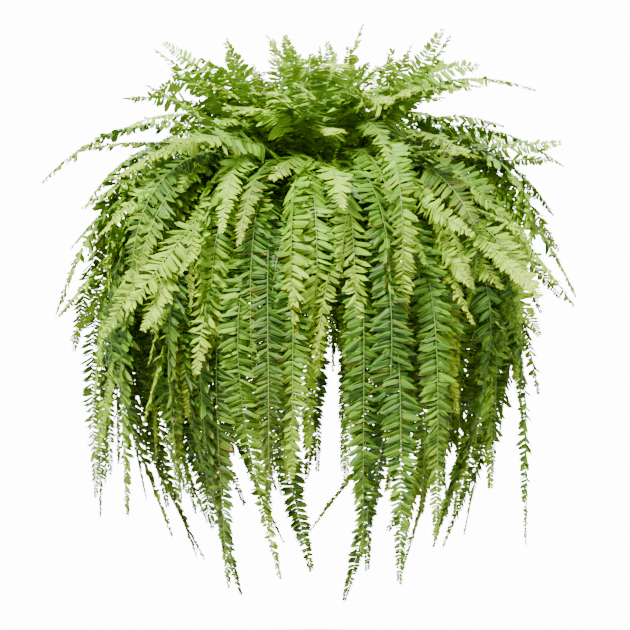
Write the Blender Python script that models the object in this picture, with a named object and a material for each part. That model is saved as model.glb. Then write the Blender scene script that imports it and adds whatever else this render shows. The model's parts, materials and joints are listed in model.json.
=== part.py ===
"""A Boston fern in a hanging pot: the pot, its potting mix and a full head of arching and hanging fronds.

Metres, +Z up. The origin is the centre of the circle through the pot's three hanger eyes, so the rim
lies just under it. The fern grows from short scaly rhizome heads that stand in holes in the potting
mix. Each head bears up to six fronds and is one object with them. Every frond is one closed blade: a
three-cornered rib with leaflets cut to it on both sides. A frond is drawn again, with the next seed,
until it clears everything that has already grown.
"""
import math
import random

import bmesh
import bpy
import numpy as np
from mathutils import Matrix, Vector
from mathutils.bvhtree import BVHTree

# ---------------------------------------------------------------- driving dimensions
RIM_RADIUS = 0.150          # a 12-inch hanging pot
FOOT_RADIUS = 0.108
POT_HEIGHT = 0.185
WALL = 0.003
LIP_WIDTH = 0.005           # how far the rim's lip stands out from the wall
LIP_HEIGHT = 0.016
SIDES = 20                  # facets round the pot
EYE_RISE = 0.008            # the hanger eyes' centres above the rim
EYE_WIDTH = 0.0036          # takes a 3 mm hanger wire
EYES = 3
LUG_WIDTH = 0.016
LUG_THICK = 0.004
DRAIN_WIDTH = 0.0038
DRAINS = 4
GAP = 0.0003                # between pieces that touch

RIM_Z = -EYE_RISE
BASE_Z = RIM_Z - POT_HEIGHT
SOIL_EDGE_Z = RIM_Z - 0.014
SOIL_DOME = 0.016           # the potting mix is mounded by this much in the middle

HEAD_WIDTH = 0.0095         # rhizome head
HEAD_DEPTH = 0.012          # below the surface of the mix
HEAD_RISE = 0.010           # above it

BLADE = 0.0006              # thickness of a leaflet at its tip
RIB_WIDTH = 0.0026          # at the root of a frond
RIB_DEPTH = 0.0024
RIB_TAPER = 0.60            # share of the rib's width and depth that it loses by the tip
RIB_STEPS = 36
STIFF = 1.35                # above 1, the foot of the stalk bends less than the rest
LEAFLET_PITCH = {"outer": 0.153, "second": 0.126, "inner": 0.112, "heart": 0.090}    # by ring
LEAFLET_SLANT = 0.80        # a leaflet's tip lies at this share of its foot's length
CUP = math.radians(9)       # how far the leaflets hang below the rib's upper side
RIPPLE = 0.0007             # how far a leaflet's tip waves up or down
CLEAR = 0.0016              # half the thickness of the space that a frond keeps for itself
STALK_CLEAR = 0.0016        # the same round its stalk
SIDE_CLEAR = 0.0015         # the same past its leaflets' tips
SHARED = 0.014              # the foot of a stalk, which may meet its neighbour on the same head
TRIES = 400

# The rings of rhizome heads, from the wall inwards: radius and number of heads.
RINGS = {"outer": (0.115, 22), "second": (0.086, 14), "inner": (0.056, 9), "heart": (0.027, 7)}

# Each head bears a frond in each of its ring's layers where there is room, and each layer lies over the
# one before. In degrees, the angle at which the frond rises from the head and the elevation of its tip.
# Then the exponent of its bend, where a higher one bends early and then hangs, and the length of its
# bare stalk.
LAYERS = {
    "outer": [(16, -83, 4.6, 0.050), (17, -77, 4.6, 0.050), (18, -70, 4.6, 0.055),
              (20, -62, 4.4, 0.055), (22, -54, 4.2, 0.055), (24, -46, 3.8, 0.060)],
    "second": [(25, -38, 3.2, 0.065), (28, -30, 2.8, 0.065), (32, -22, 2.4, 0.070),
               (37, -14, 2.0, 0.070), (42, -6, 1.7, 0.070)],
    "inner": [(46, -3, 1.6, 0.075), (51, 6, 1.5, 0.075), (57, 14, 1.4, 0.070),
              (62, 22, 1.3, 0.065), (67, 31, 1.2, 0.060)],
    "heart": [(68, 30, 1.2, 0.060), (72, 39, 1.1, 0.055), (76, 48, 1.0, 0.050),
              (80, 57, 1.0, 0.045), (84, 67, 1.0, 0.040), (88, 78, 1.0, 0.035)],
}
# How far the fronds stray from those measures, in degrees but for the heading's radians. A later try
# strays further by its share of TRIES.
RISE_SPREAD = 3.5
TIP_SPREAD = 5.0
ROLL_SPREAD = 16
SWEEP_SPREAD = 13
HEADING_SPREAD = 0.09
HEADING_STRAY = 0.55
SHRINK = 0.6                    # the share of its size that a late try may give up

# How far from the origin a frond's tip may lie, by its elevation in degrees.
REACH = [(-90, 0.55), (-80, 0.58), (-70, 0.60), (-60, 0.58), (-50, 0.53), (-40, 0.48), (-20, 0.44),
         (0, 0.425), (20, 0.39), (40, 0.33), (60, 0.28), (90, 0.25)]
SHORTEST = 0.62                 # the shortest frond's share of that
RING_TURN = math.radians(37)    # each ring starts this much further round
FORK = math.radians(11)         # the usual angle between the fronds of a head
HALF_WIDTHS = (0.022, 0.027)    # the longest leaflets' lengths
ROOT_SINK = 0.004               # how deep a frond is rooted in its head
ROOT_OUT = 0.0015               # how far its root lies outwards from the head's middle
LEADER_STRAY = 0.008            # how closely a leader's tip keeps to its place on the first try

# Tips of the fronds that stand out from the mass or hang in front of the pot.
LEADERS = [
    (0.075, -0.03, 0.275), (-0.05, -0.05, 0.250), (0.14, 0.08, 0.205), (-0.105, 0.06, 0.205),
    (-0.225, 0.02, 0.215), (0.265, 0.05, 0.160), (0.175, -0.10, 0.150), (0.370, -0.05, 0.170),
    (-0.335, 0.06, 0.145), (-0.325, -0.08, 0.100), (-0.475, -0.03, 0.000), (-0.415, 0.08, -0.045),
    (0.405, 0.10, -0.035), (0.445, -0.05, -0.195), (0.380, 0.06, -0.270), (-0.440, -0.06, -0.225),
    (-0.425, 0.05, -0.310), (-0.390, -0.05, -0.370), (0.385, 0.08, -0.330), (0.325, -0.04, -0.450),
    (-0.365, -0.06, -0.520), (-0.290, 0.08, -0.525), (-0.200, -0.14, -0.560), (-0.120, -0.18, -0.680),
    (-0.080, 0.20, -0.690), (0.010, 0.24, -0.575), (0.040, -0.20, -0.690), (0.140, 0.20, -0.610),
    (0.215, -0.12, -0.620), (0.275, 0.08, -0.655), (-0.120, -0.350, -0.060), (0.050, -0.370, -0.010),
    (0.170, -0.340, -0.100), (-0.030, -0.360, -0.160), (0.090, -0.350, -0.200), (-0.160, -0.320, -0.240),
    (-0.435, 0.02, -0.110), (0.435, 0.00, -0.110), (0.420, -0.06, 0.035), (-0.400, -0.10, 0.060),
    (-0.150, -0.05, 0.215), (0.020, -0.08, 0.230), (0.195, 0.02, 0.185), (0.320, -0.02, 0.110),
    (0.020, -0.320, -0.240), (0.140, -0.300, -0.310), (-0.060, -0.280, -0.270), (0.060, -0.250, -0.250),
    (-0.260, -0.100, -0.470), (-0.170, -0.180, -0.500), (-0.100, 0.120, -0.520), (0.120, -0.180, -0.500),
    (0.190, 0.140, -0.500), (0.270, -0.120, -0.450), (0.330, 0.050, -0.420), (-0.330, 0.060, -0.430),
    (-0.310, -0.120, -0.380), (0.300, -0.150, -0.350), (-0.220, 0.200, -0.450), (0.240, 0.200, -0.440),
    (-0.050, 0.250, -0.500), (-0.210, -0.220, -0.400), (0.200, -0.240, -0.400),
]

MASS_RADIUS = 0.44              # how far from the axis a rib may pass
LEADER_RADIUS = 0.49

# The gap under the pot that the fronds leave open: the x and z of its middle, half its width and half
# its height, and the slope at which it runs down towards the back.
WINDOW = (0.030, -0.375, 0.042, 0.050, 0.16)


# ---------------------------------------------------------------- objects, materials and solids
for old in list(bpy.data.objects):
    bpy.data.objects.remove(old)


def material(name, colour, roughness):
    made = bpy.data.materials.new(name)
    made.use_nodes = True
    shader = made.node_tree.nodes["Principled BSDF"]
    shader.inputs["Base Color"].default_value = (*colour, 1)
    shader.inputs["Roughness"].default_value = roughness
    shader.inputs["Metallic"].default_value = 0
    return made


def solid(name, points, faces, finish):
    """A new object of the given corners and faces, turned to face outwards."""
    mesh = bpy.data.meshes.new(name)
    mesh.from_pydata([tuple(p) for p in points], [], faces)
    shape = bmesh.new()
    shape.from_mesh(mesh)
    bmesh.ops.recalc_face_normals(shape, faces=shape.faces)
    shape.to_mesh(mesh)
    shape.free()
    mesh.materials.append(finish)
    made = bpy.data.objects.new(name, mesh)
    bpy.context.scene.collection.objects.link(made)
    return made


def turned(name, profile, sides, finish):
    """A solid of revolution. The profile runs from the axis round to the axis again."""
    points = [Vector((0, 0, profile[0][1]))]
    rings = []
    for radius, height in profile[1:-1]:
        rings.append(range(len(points), len(points) + sides))
        for side in range(sides):
            turn = math.tau * side / sides
            points.append(Vector((radius * math.cos(turn), radius * math.sin(turn), height)))
    faces = [tuple(rings[0]), tuple(rings[-1])]
    for below, above in zip(rings, rings[1:]):
        for side in range(sides):
            after = (side + 1) % sides
            faces.append((below[side], below[after], above[after], above[side]))
    return solid(name, points[1:], [tuple(i - 1 for i in face) for face in faces], finish)


def block(name, centre, size, turn, finish, sides=4):
    """A prism with its sides upright, of the given width, depth and height."""
    width, depth, height = size
    points = []
    for level in (-0.5, 0.5):
        for side in range(sides):
            angle = math.tau * (side + 0.5) / sides
            corner = Vector((width * math.cos(angle), depth * math.sin(angle), 0))
            corner = corner / (2 * math.cos(math.pi / sides))
            corner.z = level * height
            points.append(Matrix.Rotation(turn, 3, "Z") @ corner + Vector(centre))
    faces = [tuple(range(sides)), tuple(range(sides, 2 * sides))]
    faces += [(s, (s + 1) % sides, sides + (s + 1) % sides, sides + s) for s in range(sides)]
    return solid(name, points, faces, finish)


def combine(target, others, operation, solver="EXACT"):
    """One Boolean on a collection of objects, applied. The others are then removed."""
    group = bpy.data.collections.new("tools")
    bpy.context.scene.collection.children.link(group)
    for other in others:
        group.objects.link(other)
    cut = target.modifiers.new(operation, "BOOLEAN")
    cut.operation = operation
    cut.operand_type = "COLLECTION"
    cut.collection = group
    cut.solver = solver
    shown = bpy.context.evaluated_depsgraph_get()
    mesh = bpy.data.meshes.new_from_object(target.evaluated_get(shown))
    target.modifiers.remove(cut)
    target.data = mesh
    for other in others:
        bpy.data.objects.remove(other)
    bpy.data.collections.remove(group)


def fill_cavities(target):
    """Removes the inner skins that stalks joined side by side can leave closed between them."""
    shape = bmesh.new()
    shape.from_mesh(target.data)
    loose = set(shape.faces)
    while loose:
        skin = {loose.pop()}
        edge_of_skin = list(skin)
        while edge_of_skin:
            face = edge_of_skin.pop()
            for edge in face.edges:
                for other in edge.link_faces:
                    if other in loose:
                        loose.remove(other)
                        skin.add(other)
                        edge_of_skin.append(other)
        volume = sum(f.normal.dot(f.calc_center_median()) * f.calc_area() for f in skin)
        if volume < 0:
            bmesh.ops.delete(shape, geom=list(skin), context="FACES")
    shape.to_mesh(target.data)
    shape.free()


# ---------------------------------------------------------------- the pot
def make_pot(finish):
    wall_top = RIM_RADIUS - LIP_WIDTH
    lip_z = RIM_Z - LIP_HEIGHT
    floor_z = BASE_Z + WALL
    pot = turned("hanging_pot", [
        (0, BASE_Z),
        (FOOT_RADIUS, BASE_Z),
        (wall_top, lip_z),
        (RIM_RADIUS, lip_z),
        (RIM_RADIUS, RIM_Z),
        (RIM_RADIUS - LIP_WIDTH, RIM_Z),
        (wall_top - WALL, lip_z),
        (FOOT_RADIUS - WALL, floor_z),
        (0, floor_z),
    ], SIDES, finish)

    lugs = []
    eyes = []
    lug_height = 2 * EYE_RISE + 0.002
    for eye in range(EYES):
        turn = math.tau * (eye + 0.25) / EYES
        out = Vector((math.cos(turn), math.sin(turn), 0)) * (RIM_RADIUS - LIP_WIDTH / 2)
        centre = out + Vector((0, 0, -0.001))
        lugs.append(block("lug", centre, (LUG_THICK, LUG_WIDTH, lug_height), turn, finish))
        hole = block("eye", (0, 0, 0), (EYE_WIDTH, EYE_WIDTH, 4 * LUG_THICK), 0, finish, sides=6)
        hole.data.transform(Matrix.Translation(out) @ Matrix.Rotation(turn, 4, "Z")
                            @ Matrix.Rotation(math.pi / 2, 4, "Y"))
        eyes.append(hole)
    combine(pot, lugs, "UNION")

    for drain in range(DRAINS):
        turn = math.tau * (drain + 0.5) / DRAINS
        out = Vector((math.cos(turn), math.sin(turn), 0)) * FOOT_RADIUS * 0.72
        centre = out + Vector((0, 0, BASE_Z))
        eyes.append(block("drain", centre, (DRAIN_WIDTH, DRAIN_WIDTH, 4 * WALL), turn, finish, sides=5))
    combine(pot, eyes, "DIFFERENCE")
    return pot


# ---------------------------------------------------------------- the potting mix and the heads
def soil_height(radius):
    """The mix's surface: mounded round the rhizome heads and level near the wall."""
    share = min(1, radius / (RIM_RADIUS - LIP_WIDTH - WALL))
    return SOIL_EDGE_Z + SOIL_DOME * (1 - share ** 2)


def head_places():
    """Every rhizome head: its name, its ring, its foot point and its turn round the axis."""
    for step, (ring, (radius, count)) in enumerate(RINGS.items()):
        for number in range(count):
            turn = RING_TURN * step + math.tau * number / count
            foot = Vector((radius * math.cos(turn), radius * math.sin(turn), soil_height(radius)))
            yield f"{ring}_tuft_{number + 1:02d}", ring, foot, turn


def make_soil(finish):
    slope = (RIM_RADIUS - LIP_WIDTH - FOOT_RADIUS) / (POT_HEIGHT - LIP_HEIGHT)
    floor_z = BASE_Z + WALL + GAP
    inner_foot = FOOT_RADIUS - WALL - GAP
    edge = inner_foot + slope * (SOIL_EDGE_Z - floor_z)
    rings = (1.0, 0.75, 0.42)
    profile = [(0, floor_z), (inner_foot, floor_z)]
    profile += [(edge * share, soil_height(edge * share)) for share in rings]
    profile.append((0, soil_height(0)))
    soil = turned("potting_mix", profile, SIDES, finish)
    holes = []
    for _, _, foot, turn in head_places():
        low = foot - Vector((0, 0, HEAD_DEPTH + GAP))
        width = HEAD_WIDTH + 2 * GAP
        height = 2 * (HEAD_DEPTH + GAP)
        centre = low + Vector((0, 0, height / 2))
        holes.append(block("hole", centre, (width, width, height), turn, finish))
    combine(soil, holes, "DIFFERENCE")
    return soil


def make_head(name, foot, turn, finish):
    """A rhizome head, square like the hole that it stands in."""
    centre = foot + Vector((0, 0, (HEAD_RISE - HEAD_DEPTH) / 2))
    return block(name, centre, (HEAD_WIDTH, HEAD_WIDTH, HEAD_RISE + HEAD_DEPTH), turn, finish)


# ---------------------------------------------------------------- one frond
class Frond:
    """The rib of a frond, and the length of the leaflets along it."""

    def __init__(self, root, tip, rise, bend, sweep, roll, half_width, bare, pitch):
        self.rise, self.bend, self.sweep, self.roll = rise, bend, sweep, roll
        self.half_width, self.pitch = half_width, pitch
        self.heading = 0
        chord = tip - root
        lean = math.atan2(chord.z, math.hypot(chord.x, chord.y))
        low, high = math.radians(-130), rise
        middles = (np.arange(RIB_STEPS) + 0.5) / RIB_STEPS
        for _ in range(18):
            self.droop = (low + high) / 2
            end = self.along(middles).mean(0)
            if math.atan2(end[2], math.hypot(end[0], end[1])) > lean:
                high = self.droop
            else:
                low = self.droop
        self.heading = math.atan2(chord.y, chord.x) - math.atan2(end[1], end[0])
        self.length = chord.length / float(np.linalg.norm(end))
        steps = np.cumsum(self.along(middles) * (self.length / RIB_STEPS), 0)
        self.rib = [root] + [root + Vector(step) for step in steps]
        self.bare = bare / self.length

    def angles(self, t):
        """The rib's angle above level, and its turn round the axis, at the share t of its length."""
        lift = self.rise + (self.droop - self.rise) * (1 - np.maximum(0, 1 - t ** STIFF) ** self.bend)
        return lift, self.heading + self.sweep * (t - 0.5)

    def along(self, t):
        """The rib's direction at each of the shares t."""
        lift, turn = self.angles(t)
        return np.stack([np.cos(lift) * np.cos(turn), np.cos(lift) * np.sin(turn), np.sin(lift)], 1)

    def axes(self, t):
        """The directions across the blade and out of its upper side."""
        lift, turn = (float(angle) for angle in self.angles(t))
        roll = self.roll * t
        across = Vector((math.sin(turn), -math.cos(turn), 0))
        upper = Vector((-math.sin(lift) * math.cos(turn), -math.sin(lift) * math.sin(turn), math.cos(lift)))
        return (across * math.cos(roll) + upper * math.sin(roll),
                upper * math.cos(roll) - across * math.sin(roll))

    def point(self, t):
        place = min(t, 1) * RIB_STEPS
        step = min(int(place), RIB_STEPS - 1)
        return self.rib[step].lerp(self.rib[step + 1], place - step)

    def breadth(self, t):
        """The length of a leaflet at t: short by the stalk, full to the middle, tapering to the tip."""
        leafy = max(0, (t - self.bare) / (1 - self.bare))
        taper = max(0, (leafy - 0.42) / 0.58)
        return self.half_width * min(1, 0.35 + 2.4 * leafy) * (1 - 0.9 * taper ** 1.5)

    def edge(self, t, side):
        """Where a leaflet at t would end, on side -1 or 1."""
        across, upper = self.axes(t)
        reach = self.breadth(t)
        return self.point(t) + across * (side * reach * math.cos(CUP)) - upper * (reach * math.sin(CUP))

    def stations(self):
        """The shares at which the blade is cut to the rib, closer together where it narrows."""
        leafy = 1 - self.bare
        count = max(3, round(self.length * leafy / self.pitch))
        weights = []
        for step in range(count):
            middle = self.bare + leafy * (step + 0.5) / count
            weights.append(0.5 + 0.5 * self.breadth(middle) / self.half_width)
        places = [self.bare]
        for weight in weights:
            places.append(places[-1] + weight * (0.985 - self.bare) / sum(weights))
        return places


def make_frond(name, frond, ripple_seed, finish):
    """The solid of a frond: a three-cornered rib, and on each side leaflets cut to it."""
    points = []
    faces = []
    ripple = random.Random(ripple_seed)

    def section(t):
        """The rib's two upper corners and its keel."""
        across, upper = frond.axes(t)
        size = 1 - RIB_TAPER * t
        centre = frond.point(t)
        first = len(points)
        half = across * (RIB_WIDTH / 2 * size)
        points.extend([centre - half, centre + half, centre - upper * (RIB_DEPTH * size)])
        return first, first + 1, first + 2

    stations = frond.stations()
    stalk = [0, frond.bare / 2]
    corners = [section(t) for t in stalk + stations]
    faces.append(corners[0])
    for step, (low, high) in enumerate(zip(corners, corners[1:])):
        left, right, keel = low
        next_left, next_right, next_keel = high
        faces.append((left, next_left, next_right, right))
        leaf = step - len(stalk)
        if leaf < 0:
            faces.append((left, keel, next_keel, next_left))
            faces.append((right, next_right, next_keel, keel))
            continue
        start, end = stations[leaf:leaf + 2]
        _, upper = frond.axes(start + LEAFLET_SLANT * (end - start))
        for side, foot, next_foot in ((-1, left, next_left), (1, right, next_right)):
            tip = frond.edge(start, side).lerp(frond.edge(end, side), LEAFLET_SLANT)
            tip += upper * ripple.uniform(-RIPPLE, RIPPLE)
            top = len(points)
            points.extend([tip, tip - upper * BLADE])
            faces.append((foot, next_foot, top))
            faces.append((keel, top + 1, next_keel))
            faces.append((foot, top, top + 1, keel))
            faces.append((next_foot, next_keel, top + 1, top))
    left, right, keel = corners[-1]
    _, upper = frond.axes(1)
    end = len(points)
    points.extend([frond.point(1), frond.point(1) - upper * BLADE])
    faces.append((left, end, right))
    faces.append((left, keel, end + 1, end))
    faces.append((right, end, end + 1, keel))
    return solid(name, points, faces, finish)


def space(frond):
    """The closed skin of the room that a frond needs: a thick ribbon, and a rod round its stalk."""
    points = []
    faces = []
    bare = frond.bare
    start = SHARED / frond.length
    for t in [start, bare / 2, bare * 0.99] + frond.stations() + [1]:
        across, upper = frond.axes(t)
        centre = frond.point(t)
        if t < bare:
            ring = [centre + across * STALK_CLEAR * a + upper * (STALK_CLEAR * b - RIB_DEPTH / 2)
                    for a, b in ((-1, 1), (0, 1), (1, 1), (1, -1), (0, -1), (-1, -1))]
        else:
            rim = across * SIDE_CLEAR
            left = frond.edge(t, -1) - rim
            right = frond.edge(t, 1) + rim
            thick = upper * CLEAR
            ring = [left + thick, centre + thick, right + thick,
                    right - thick, centre - thick - upper * 0.001, left - thick]
        first = len(points)
        points.extend(ring)
        if first:
            for corner in range(6):
                after = (corner + 1) % 6
                faces.append((first - 6 + corner, first - 6 + after, first + after, first + corner))
    faces.append(tuple(range(6)))
    faces.append(tuple(range(len(points) - 6, len(points))))
    return points, faces


# ---------------------------------------------------------------- growth
class Room:
    """What has grown so far, and whether one more frond fits."""

    def __init__(self, fixed):
        self.taken = []
        for made in fixed:
            mesh = made.data
            self.add([v.co for v in mesh.vertices], [tuple(p.vertices) for p in mesh.polygons])

    def add(self, points, faces):
        self.taken.append((self.box(points), BVHTree.FromPolygons(points, faces)))

    @staticmethod
    def box(points):
        return [(min(p[k] for p in points), max(p[k] for p in points)) for k in range(3)]

    def fits(self, points, faces):
        box = self.box(points)
        tree = BVHTree.FromPolygons(points, faces)
        for other_box, other in self.taken:
            apart = any(a[1] < b[0] or b[1] < a[0] for a, b in zip(box, other_box))
            if not apart and tree.overlap(other):
                return False
        return True


def in_outline(frond, leader):
    """Whether the rib leaves over the pot's rim and stays within the mass, which a leader may pass."""
    widest = LEADER_RADIUS if leader else MASS_RADIUS
    for point in frond.rib[2:]:
        radius = math.hypot(point.x, point.y)
        if radius > widest or (radius < RIM_RADIUS and point.z < RIM_Z):
            return False
    return True


def leaves_window(points):
    """Whether the fronds keep the gap under the pot open."""
    x, z, half_width, half_height, slope = WINDOW
    return not any(abs(p.x - x) < half_width and abs(p.z + slope * p.y - z) < half_height for p in points)


def reach_at(elevation):
    """The distance of the mass's surface from the origin at an elevation in degrees."""
    for (low, near), (high, far) in zip(REACH, REACH[1:]):
        if elevation <= high:
            return near + (far - near) * (max(elevation, low) - low) / (high - low)
    return REACH[-1][1]


def draw_frond(name, layer, attempt, leader, foot, turn):
    """One try at a frond. All its measures are drawn from its name, its layer and the attempt."""
    draw = random.Random(f"{name} {layer} {attempt}")
    ring = name.split("_")[0]
    rise, elevation, bend, bare = LAYERS[ring][layer]
    loose = attempt / TRIES
    heading = turn + FORK * (layer - 2) + draw.gauss(0, HEADING_SPREAD + HEADING_STRAY * loose)
    size = 1 - SHRINK * loose * draw.random()
    rise = math.radians(rise + draw.gauss(0, RISE_SPREAD * (1 + 3 * loose)))
    elevation = elevation + draw.gauss(0, TIP_SPREAD * (1 + 2 * loose))
    reach = reach_at(elevation) * draw.uniform(SHORTEST, 1) * size
    bend = bend * draw.uniform(0.85, 1.15)
    sweep = math.radians(draw.gauss(0, SWEEP_SPREAD))
    roll = math.radians(draw.gauss(0, ROLL_SPREAD))
    half_width = draw.uniform(*HALF_WIDTHS) * (0.8 + 0.2 * size)
    level = math.cos(math.radians(elevation))
    tip = Vector((level * math.cos(heading), level * math.sin(heading), math.sin(math.radians(elevation))))
    tip *= reach
    if leader:
        stray = LEADER_STRAY + 0.04 * loose
        tip = Vector(leader) + Vector([draw.uniform(-stray, stray) for _ in range(3)])
    spoke = Vector((math.cos(heading), math.sin(heading), 0))
    root = foot + spoke * ROOT_OUT + Vector((0, 0, HEAD_RISE - ROOT_SINK))
    return Frond(root, tip, rise, bend, sweep, roll, half_width, bare, LEAFLET_PITCH[ring])


def share_leaders():
    """Gives each leader to the free frond that suits it best, by its tip's elevation and its turn."""
    given = {}
    for tip in LEADERS:
        turn = math.atan2(tip[1], tip[0])
        height = math.degrees(math.atan2(tip[2], math.hypot(tip[0], tip[1])))
        free = []
        for name, ring, _, head_turn in head_places():
            for layer, (_, elevation, _, _) in enumerate(LAYERS[ring]):
                if (name, layer) not in given:
                    away = math.remainder(head_turn + FORK * (layer - 2) - turn, math.tau)
                    free.append((abs(math.degrees(away)) + abs(elevation - height), name, layer))
        given[min(free)[1:]] = tip
    return given


def grow(room):
    """Grows every frond, the leaders first, and returns each head's fronds by its name."""
    leaders = share_leaders()
    places = []
    for name, ring, foot, turn in head_places():
        places += [(name, layer, foot, turn) for layer in range(len(LAYERS[ring]))]
    rings = list(RINGS)
    places.sort(key=lambda place: (place[:2] not in leaders, rings.index(place[0].split("_")[0]), place[1]))
    heads = {}
    total = 0
    for name, layer, foot, turn in places:
        leader = leaders.get((name, layer))
        for attempt in range(TRIES):
            frond = draw_frond(name, layer, attempt, leader, foot, turn)
            total += 1
            if not in_outline(frond, leader):
                continue
            points, faces = space(frond)
            if leaves_window(points) and room.fits(points, faces):
                room.add(points, faces)
                heads.setdefault(name, []).append(frond)
                break
        else:
            print("no room for", name, layer, leader or "")
    print("tries", total, "fronds", sum(len(h) for h in heads.values()),
          "length", sum(f.length for h in heads.values() for f in h))
    return heads


# ---------------------------------------------------------------- the whole fern
plastic = material("black_plastic", (0.012, 0.012, 0.013), 0.45)
mix = material("potting_mix", (0.045, 0.028, 0.017), 0.95)
leaf = material("fern_leaf", (0.115, 0.225, 0.036), 0.5)

pot_object = make_pot(plastic)
soil_object = make_soil(mix)
grown = grow(Room([pot_object, soil_object]))
for head, _, head_foot, head_turn in head_places():
    tuft = make_head(head, head_foot, head_turn, leaf)
    blades = [make_frond("frond", made, f"{head} {side}", leaf) for side, made in enumerate(grown[head])]
    combine(tuft, blades, "UNION", "MANIFOLD")
    fill_cavities(tuft)
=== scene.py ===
# %% [markdown]
# # A potted Boston fern
# A hanging fern is hundreds of thousands of small surfaces that follow a few simple rules: short scaly
# heads in a pot, fronds that rise from them and arch over, and a comb of leaflets on both sides of every
# rib. The solids of the part already hold the pot, the mix, the heads and the line of every frond. This
# script repeats the rule that drew those lines and hangs the finer plant on them.

# %% Load the frame
import json
import math
import random

import bmesh
import bpy
import numpy as np
from mathutils import Matrix, Vector, noise
from mathutils.kdtree import KDTree

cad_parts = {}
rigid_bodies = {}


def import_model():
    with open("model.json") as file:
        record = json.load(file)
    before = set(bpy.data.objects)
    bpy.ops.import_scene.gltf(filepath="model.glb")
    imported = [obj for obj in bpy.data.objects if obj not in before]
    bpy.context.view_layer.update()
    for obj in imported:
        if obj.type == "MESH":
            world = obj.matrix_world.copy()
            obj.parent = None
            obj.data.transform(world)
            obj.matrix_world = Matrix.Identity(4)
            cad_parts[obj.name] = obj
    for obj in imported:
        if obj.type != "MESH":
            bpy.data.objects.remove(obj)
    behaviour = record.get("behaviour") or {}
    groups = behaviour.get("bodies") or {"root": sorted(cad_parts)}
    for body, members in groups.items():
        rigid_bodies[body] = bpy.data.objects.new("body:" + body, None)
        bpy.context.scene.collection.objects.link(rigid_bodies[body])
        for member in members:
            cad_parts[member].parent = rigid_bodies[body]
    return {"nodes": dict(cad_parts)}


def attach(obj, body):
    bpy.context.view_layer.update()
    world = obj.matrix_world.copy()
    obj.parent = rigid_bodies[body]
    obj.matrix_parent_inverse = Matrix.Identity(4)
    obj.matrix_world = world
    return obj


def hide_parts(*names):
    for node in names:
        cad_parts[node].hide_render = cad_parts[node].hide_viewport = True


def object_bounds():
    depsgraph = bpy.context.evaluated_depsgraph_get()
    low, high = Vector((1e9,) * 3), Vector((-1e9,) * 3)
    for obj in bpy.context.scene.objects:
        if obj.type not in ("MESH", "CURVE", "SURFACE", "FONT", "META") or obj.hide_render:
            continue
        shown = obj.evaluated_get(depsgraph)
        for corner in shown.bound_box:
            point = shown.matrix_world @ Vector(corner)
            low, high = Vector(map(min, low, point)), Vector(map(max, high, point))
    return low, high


for spare in list(bpy.data.objects):
    bpy.data.objects.remove(spare)
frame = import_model()
cad_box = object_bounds()
print("solids span", [round(high - low, 3) for low, high in zip(*cad_box)])

# %% [markdown]
# ## Camera, floor and light
# The plant hangs in soft studio light before white. One wide lamp from above and in front gives the
# upper sides of the leaflets their shine, a weaker one fills the other side, and a pale world surrounds
# it all, so that the deep shade between the fronds comes from the foliage itself. The world looks whiter
# than the light it gives, as an overexposed studio wall does. The floor is a round pale stage well below
# the lowest frond.

# %% Camera, floor and light
FLOOR_Z = -1.25
AIM = Vector((0, 0, -0.226))
DISTANCE = 2.7
RAISED = math.radians(9)
FIELD = 1.1025                  # metres across the view at the plant
FLOOR_RADIUS = 1.2
LAMPS_AIM = Vector((0, 0, -0.1))
WORLD_LIGHT = 1.25              # what the world gives, and how bright it looks
WORLD_LOOK = 14.0


def deselect():
    """Leaves edit mode and selects nothing."""
    if bpy.context.mode != "OBJECT":
        bpy.ops.object.mode_set(mode="OBJECT")
    bpy.ops.object.select_all(action="DESELECT")


def aim(thing, at):
    thing.rotation_euler = (at - thing.location).to_track_quat("-Z", "Y").to_euler()


deselect()
camera_place = AIM + DISTANCE * Vector((0, -math.cos(RAISED), math.sin(RAISED)))
bpy.ops.object.camera_add(location=camera_place)
camera = bpy.context.object
camera.name = "camera"
camera.data.lens = camera.data.sensor_width * DISTANCE / FIELD
aim(camera, AIM)
bpy.context.scene.camera = camera

for lamp_name, place, watts, size in (
        ("key_light", (-0.7, -1.5, 2.5), 400, 0.7),
        ("fill_light", (2.2, -1.9, 0.9), 45, 1.6),
        ("back_light", (0.6, 2.3, 1.8), 90, 1.2)):
    bpy.ops.object.light_add(type="AREA", location=place)
    lamp = bpy.context.object
    lamp.name = lamp_name
    lamp.data.energy = watts
    lamp.data.size = size
    aim(lamp, LAMPS_AIM)

bpy.ops.mesh.primitive_circle_add(vertices=96, radius=FLOOR_RADIUS, fill_type="NGON",
                                  location=(0, 0, FLOOR_Z))
floor = bpy.context.object
floor.name = "floor"
pale = bpy.data.materials.new("pale_floor")
pale.use_nodes = True
pale.node_tree.nodes["Principled BSDF"].inputs["Base Color"].default_value = (0.80, 0.80, 0.79, 1)
pale.node_tree.nodes["Principled BSDF"].inputs["Roughness"].default_value = 0.8
floor.data.materials.append(pale)

world = bpy.context.scene.world or bpy.data.worlds.new("world")
bpy.context.scene.world = world
world.use_nodes = True
sky = world.node_tree
given_light = sky.nodes["Background"]
given_light.inputs["Color"].default_value = (1, 1, 1, 1)
given_light.inputs["Strength"].default_value = WORLD_LIGHT
seen_white = sky.nodes.new("ShaderNodeBackground")
seen_white.inputs["Strength"].default_value = WORLD_LOOK
seen_white.inputs["Color"].default_value = (1, 1, 1, 1)
either = sky.nodes.new("ShaderNodeMixShader")
sky.links.new(sky.nodes.new("ShaderNodeLightPath").outputs["Is Camera Ray"], either.inputs[0])
sky.links.new(given_light.outputs[0], either.inputs[1])
sky.links.new(seen_white.outputs[0], either.inputs[2])
sky.links.new(either.outputs[0], sky.nodes["World Output"].inputs["Surface"])
print("camera at", [round(c, 2) for c in camera.location])

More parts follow.
